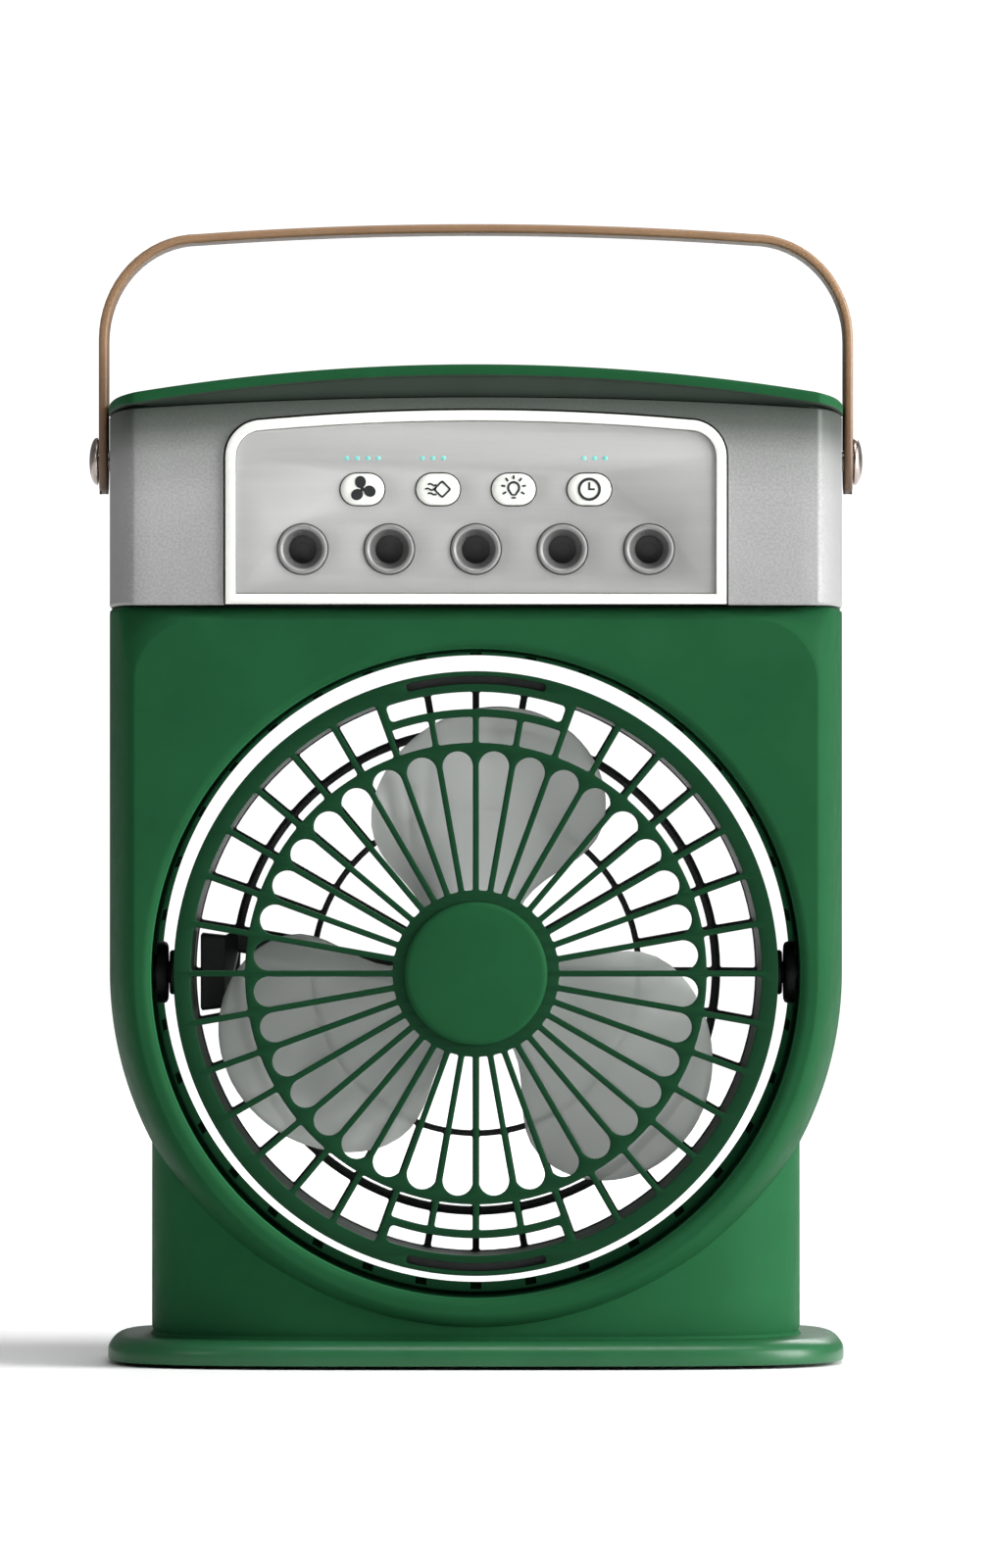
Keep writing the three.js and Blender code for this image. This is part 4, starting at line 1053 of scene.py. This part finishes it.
def make_strap():
    line = np.array(strap_line())
    tangent = np.gradient(line, axis=0)
    tangent /= np.linalg.norm(tangent, axis=1, keepdims=True)
    outward = np.stack([tangent[:, 1], -tangent[:, 0]], axis=1) * STRAP_THICKNESS
    end_radius = STRAP_HIGH.y
    edge, groove = 0.55, 0.16
    rings = []
    for (x, z), (nx, nz) in zip(line, outward):
        width = end_radius
        from_middle = end_radius - (z - STRAP_LOW.z)
        if from_middle > 0:
            width = math.sqrt(max(0.3, end_radius**2 - from_middle**2))
        inner_side = [(-width + edge, 0), (-width + 1.6, 0), (width - 1.6, 0), (width - edge, 0)]
        outer_side = [
            (width - edge, 1), (width - 1.5, 1), (width - 1.75, 1 - groove), (width - 2.0, 1),
            (-width + 2.0, 1), (-width + 1.75, 1 - groove), (-width + 1.5, 1), (-width + edge, 1),
        ]
        right = [(width - 0.12, 0.14), (width, 0.32), (width, 0.68), (width - 0.12, 0.86)]
        left = [(-y, lift) for y, lift in right[::-1]]
        section = inner_side + right + outer_side + left
        rings.append([(x + nx * lift, y, z + nz * lift) for y, lift in section])
    strap = loft("strap", rings, smooth_angle=60)
    dress(strap, "leather", "handle", "strap_leather", "handle_strap")
    paint(strap, "leather_edge", lambda middle, normal: abs(normal.y) > 0.5)


def make_rivets():
    shank = 2.4
    for side, name in ((-1, "left"), (1, "right")):
        tip, end, radius = side_part(f"handle_rivet_{name}")
        seat = end - 2.1
        turns = np.linspace(0, math.pi / 2, 12)[:-1]
        dome = [(radius * math.cos(a), seat + 0.35 + 1.75 * math.sin(a)) for a in turns]
        profile = [(0, tip), (shank, tip), (shank, seat), (radius - 0.4, seat), (radius, seat + 0.15)]
        rivet = turned(f"rivet_{name}", profile + dome + [(0, end)], (0, 0, RIVET_Z), "X", side)
        dress(rivet, "rivet", "housing", "steel", f"handle_rivet_{name}")


# ---- fan head
def polar(radius, degrees):
    """A point at a radius and an angle clockwise from the top."""
    return radius * math.sin(math.radians(degrees)), radius * math.cos(math.radians(degrees))


def arc_opening(inner_arc, outer_arc, corner, round_steps):
    """An opening between two arcs that run the same way, with its four corners rounded."""
    points = inner_arc + outer_arc[::-1]
    corners = [0.0] * len(points)
    for k in (0, len(inner_arc) - 1, len(inner_arc), len(points) - 1):
        corners[k] = corner
    return rounded(points, corners, round_steps)


def cell(a, b, width, inner, outer, corner=0.6, steps=3):
    """The opening between two ribs: straight sides along the ribs and ends that follow the rings."""

    def along(radius):
        half = math.degrees(math.asin(width / 2 / radius))
        return [polar(radius, t) for t in np.linspace(a + half, b - half, steps + 1)]

    return arc_opening(along(inner), along(outer), corner, 3)


def petal(a, b, width, inner, outer):
    """A long opening between two ribs with a half-round outer end."""
    middle = (a + b) / 2
    end = (outer * math.sin(math.radians((b - a) / 2)) - width / 2) / 1.08
    half = math.degrees(math.asin(width / 2 / inner))
    cx, cz = polar(outer - end, middle)
    arc = []
    for k in range(15):
        x, z = polar(end, middle + 90 - 180 * k / 14)
        arc.append((cx + x, cz + z))
    return rounded([polar(inner, a + half), polar(inner, b - half)] + arc, [0.4, 0.4] + [0.0] * 15, 2)


def arc_slot(middle, half_angle, inner, outer, corner):
    angles = np.linspace(middle - half_angle, middle + half_angle, 17)
    return arc_opening([polar(inner, t) for t in angles], [polar(outer, t) for t in angles], corner, 5)


def circle(radius, count=180):
    return [polar(radius, 360 * i / count) for i in range(count)]


def make_grille():
    petal_end, cell_start, short_cell_end = 50.8, 52.6, 58.5
    slots = []
    for i in range(int(360 / RIB_STEP)):
        a, b = i * RIB_STEP, (i + 1) * RIB_STEP
        slots.append(petal(a, b, RIB_WIDTH, HUB_RADIUS + 0.7, petal_end))
        from_vertical = abs(((a + RIB_STEP / 2 + 90) % 180) - 90)
        cell_end = short_cell_end if from_vertical < 2 * RIB_STEP else DUCT_BORE
        slots.append(cell(a, b, RIB_WIDTH, cell_start, cell_end))
    wide_window, thin_slot = (18.7, 60.3, 64.2, 1.9), (13.7, 66.0, 67.8, 0.8)
    slots += [arc_slot(middle, *sizes) for middle in (0, 180) for sizes in (wide_window, thin_slot)]
    grille = cut_plate(
        "grille_front", circle(GRILLE_HIGH.x), slots, GRILLE_LOW.y, GRILLE_HIGH.y, 0.32, (0, PIVOT.z)
    )
    dress(grille, "guard_green", "fan_head", "green_plastic", "front_grille")
    cap_front = box_mm("hub_cap")[0].y
    depth = GRILLE_LOW.y - cap_front - 0.1
    profile = [(r, 0.5 * (r / 15) ** 2) for r in np.linspace(0, 15, 10)]
    profile += [(15.6, 0.62), (16.1, 0.95), (16.3, depth - 0.4), (16.3, depth), (0, depth)]
    cap = turned("hub_disc", profile, on_axis(cap_front), segments=128)
    dress(cap, "green", "fan_head", "green_plastic", "hub_cap")


def make_duct():
    bore, outer, depth = DUCT_BORE, DUCT_HIGH.x, DUCT_HIGH.y - DUCT_LOW.y
    profile = [
        (bore, 0), (outer - 0.3, 0), (outer, 0.3), (outer, depth - 8), (outer - 0.3, depth - 4.5),
        (outer - 1.4, depth - 0.5), (outer - 1.8, depth), (bore + 0.3, depth), (bore, depth - 0.3),
    ]
    duct = turned("duct_ring", profile, on_axis(DUCT_LOW.y), segments=180)
    dress(duct, "guard_green", "fan_head", "green_plastic", "head_duct")
    # painted shade: the duct's front face is black, so the grille's slots show dark like shade inside the
    # head
    paint(duct, "black", lambda middle, normal: normal.y < -0.9)


def make_guard():
    """The rear guard: three zones of openings, and a disc that stands out behind a sloping ring."""
    rib_width = 1.6
    slots = []
    for ribs, inner, outer, steps in ((12, 17, 37.2, 6), (36, 38.6, 54.9, 3), (36, 56.9, 64.8, 3)):
        step = 360 / ribs
        slots += [cell(i * step, (i + 1) * step, rib_width, inner, outer, 0.5, steps) for i in range(ribs)]
    front = DUCT_HIGH.y + 0.2
    back = front + GUARD_THICKNESS
    slope_start, slope_length = 65.5, 9.5

    def dish(radius):
        share = min(1.0, max(0.0, (slope_start - radius) / slope_length))
        return (GUARD_HIGH.y - front - GUARD_THICKNESS) * share

    guard = cut_plate("guard_rear", circle(GUARD_HIGH.x), slots, front, back, 0.3, (0, PIVOT.z), dish)
    # painted shade: the guard takes black plastic, standing in for the shade that darkens it deep inside the
    # head
    dress(guard, "black", "fan_head", "black_plastic", "rear_guard")


def make_lead_cover():
    """A flat cover from the duct's left edge to the motor, lofted over sections across X."""

    def section(x, middle_z, half_z, y0, y1):
        loop = rounded([(y0, -half_z), (y1, -half_z), (y1, half_z), (y0, half_z)], 1.1, 4)
        return [(x, PIVOT.y + y, PIVOT.z + middle_z + z) for y, z in loop]

    inner_end = box_mm("lead_duct")[1].x
    stations = [
        (-63.6, 0, 8.4, 10.6, 18.9), (-63.2, 0, 9, 10, 19.5), (-58, 0, 8.4, 10.5, 20.4),
        (-56, 4.5, 5, 13, 22.5), (-55, 7, 2.6, 15, 23.5), (-15.4, -0.9, 2.6, 15, 26),
        (inner_end, -1, 2.4, 15.3, 25.7),
    ]
    cover = loft("lead_cover", [section(*station) for station in stations])
    dress(cover, "black", "fan_head", "black_plastic", "lead_duct")


def make_motor():
    low, high = box_mm("motor")
    radius, front = high.x, low.y + 2
    depth = high.y - front
    profile = [
        (1.8, -2), (3.7, -2), (4, -1.7), (4, 0), (8, 0), (8.3, 0.3), (radius - 1.2, 0.3), (radius - 0.3, 0.7),
        (radius, 1.4), (radius, 5), (radius - 0.4, 5.3), (radius - 0.4, 6.3), (radius, 6.6),
        (radius, depth - 0.6), (radius - 0.6, depth), (1.8, depth),
    ]
    dress(turned("motor_can", profile, on_axis(front)), "steel", "fan_head", "steel", "motor")
    low, high = box_mm("motor_shaft")
    length = high.y - low.y
    profile = [(0, 0), (1.2, 0), (1.5, 0.3), (1.5, length), (0, length)]
    dress(turned("shaft_rod", profile, on_axis(low.y), segments=40), "steel", "rotor", "steel", "motor_shaft")


def blade(name, middle, across=16):
    """One broad blade: wide rounded outline, pitched and swept, thin at its edges."""
    shares = [BLADE_WIDEST_AT * k / 10 for k in range(10)]
    shares += [BLADE_WIDEST_AT + 0.358 * math.sin(a) for a in quarter(18)]
    rings = []
    for u in shares:
        radius = BLADE_ROOT + (BLADE_TIP - BLADE_ROOT) * u
        if u >= BLADE_WIDEST_AT:
            past = (u - BLADE_WIDEST_AT) / (1 - BLADE_WIDEST_AT)
            half = BLADE_HALF_WIDEST * math.sqrt(max(0.0, 1 - past**2))
        else:
            t = u / BLADE_WIDEST_AT
            half = BLADE_HALF_ROOT + (BLADE_HALF_WIDEST - BLADE_HALF_ROOT) * t * t * (3 - 2 * t)
        pitch = 0.62 - 0.32 * u  # how much a blade leans, steeper at its root
        turn = middle + BLADE_SWEEP * (u - 0.5)
        thinning = 1 if u < 0.9 else math.sqrt(max(0.03, 1 - ((u - 0.9) / 0.1) ** 2))
        front, back = [], []
        for i in range(across + 1):
            v = math.sin((2 * i / across - 1) * math.pi / 2)
            x, z = polar(radius, turn + math.degrees(half * v / radius))
            thick = BLADE_HALF_THICK * math.sqrt(max(0.02, 1 - v**6)) * thinning
            y = PIVOT.y - 7.5 + pitch * half * v
            front.append((x, y - thick, PIVOT.z + z))
            back.append((x, y + thick, PIVOT.z + z))
        rings.append(front + back[::-1])
    return loft(name, rings, smooth_angle=70)


def make_impeller():
    depth = 20.5
    profile = [
        (1.7, 0.3), (2, 0), (13, 0), (15, 0.6), (16.2, 1.9), (16.5, 3.4), (16.5, depth - 0.4), (16.1, depth),
        (14.2, depth), (14.2, 4), (4.5, 4), (4.5, depth - 3), (1.7, depth - 3),
    ]
    hub = turned("impeller_hub", profile, on_axis(PIVOT.y - 17.5), segments=96)
    dress(hub, "blade", "rotor", "blade_plastic")
    for k in range(3):
        stands_for = ["impeller"] if k == 0 else []
        piece = blade(f"blade_{k + 1}", FIRST_BLADE + 120 * k)
        dress(piece, "blade", "rotor", "blade_plastic", *stands_for)


# ---- CAD nodes that stay, with better materials
def keep_nodes():
    finishes = {"wick": "cotton", "board": "board", "screw": "steel", "usb_socket": "steel"}
    for name, node in frame["nodes"].items():
        for key, material in finishes.items():
            if key in name and not node.hide_render:
                node.data.materials.clear()
                node.data.materials.append(MATERIALS[material])


# ---- stage
def make_world(scene):
    """A white backdrop for the camera and a much dimmer room for everything else."""
    world = bpy.data.worlds.new("studio")
    world.use_nodes = True
    scene.world = world
    nodes, links = world.node_tree.nodes, world.node_tree.links
    switch = nodes.new("ShaderNodeMixShader")
    links.new(nodes.new("ShaderNodeLightPath").outputs["Is Camera Ray"], switch.inputs["Fac"])
    for node, strength, into in ((nodes.new("ShaderNodeBackground"), 0.16, 1), (nodes["Background"], 1.1, 2)):
        node.inputs["Color"].default_value = (1, 1, 1, 1)
        node.inputs["Strength"].default_value = strength
        links.new(node.outputs["Background"], switch.inputs[into])
    links.new(switch.outputs["Shader"], nodes["World Output"].inputs["Surface"])


def make_floor():
    """A pale floor that glows more the farther it lies, so it fades into the backdrop."""
    floor = block("floor", -3000, 3000, -3000, 3000, -6, 0)
    n = Nodes("pale_floor")
    n.finish(
        Base_Color=n.mottle(n.noise(3, 2), grey(0.95), grey(0.97)),
        Roughness=0.7,
        Specular_IOR_Level=0.2,
        Emission_Color=(1, 1, 1, 1),
        Emission_Strength=n.spread(n.distance(), 0, 0.86, 0.3, 2.0),
    )
    floor.data.materials.append(n.material)


def softbox(scene, name, place, size, power):
    """A rectangular light in metres that looks at the fan's middle."""
    light = bpy.data.lights.new(name, "AREA")
    light.shape = "RECTANGLE"
    light.size, light.size_y = size
    light.energy = power
    lamp = bpy.data.objects.new(name, light)
    scene.collection.objects.link(lamp)
    lamp.location = place
    lamp.rotation_euler = (Vector((0, 0, 0.12)) - Vector(place)).to_track_quat("-Z", "Y").to_euler()


def make_camera(scene):
    data = bpy.data.cameras.new("camera")
    data.lens = 247.2
    data.sensor_width = 36
    data.shift_x, data.shift_y = 0.0122, 0.0313
    data.clip_end = 50
    camera = bpy.data.objects.new("camera", data)
    scene.collection.objects.link(camera)
    camera.location = (0, -2.5, 0.1222)
    camera.rotation_euler = (math.pi / 2, 0, 0)
    scene.camera = camera


def make_stage():
    scene = bpy.context.scene
    scene.view_settings.view_transform = "Standard"
    make_world(scene)
    make_floor()
    softbox(scene, "right_softbox", (1.5, -0.55, 0.42), (0.8, 1.3), 60)
    softbox(scene, "top_softbox", (0.3, -0.5, 2.1), (1.2, 0.7), 24)
    softbox(scene, "left_softbox", (-1.8, -2.0, 1.3), (0.8, 0.8), 8)
    softbox(scene, "back_softbox", (0.5, 2.0, 1.4), (1.2, 0.9), 20)
    make_camera(scene)


make_stage()
make_foot()
make_column(make_drum_cutter())
make_foot_pads()
make_shells()
make_pivots()
make_tank()
make_lid()
make_panel()
make_buttons()
make_strap()
make_rivets()
make_grille()
make_duct()
make_guard()
make_lead_cover()
make_motor()
make_impeller()
keep_nodes()
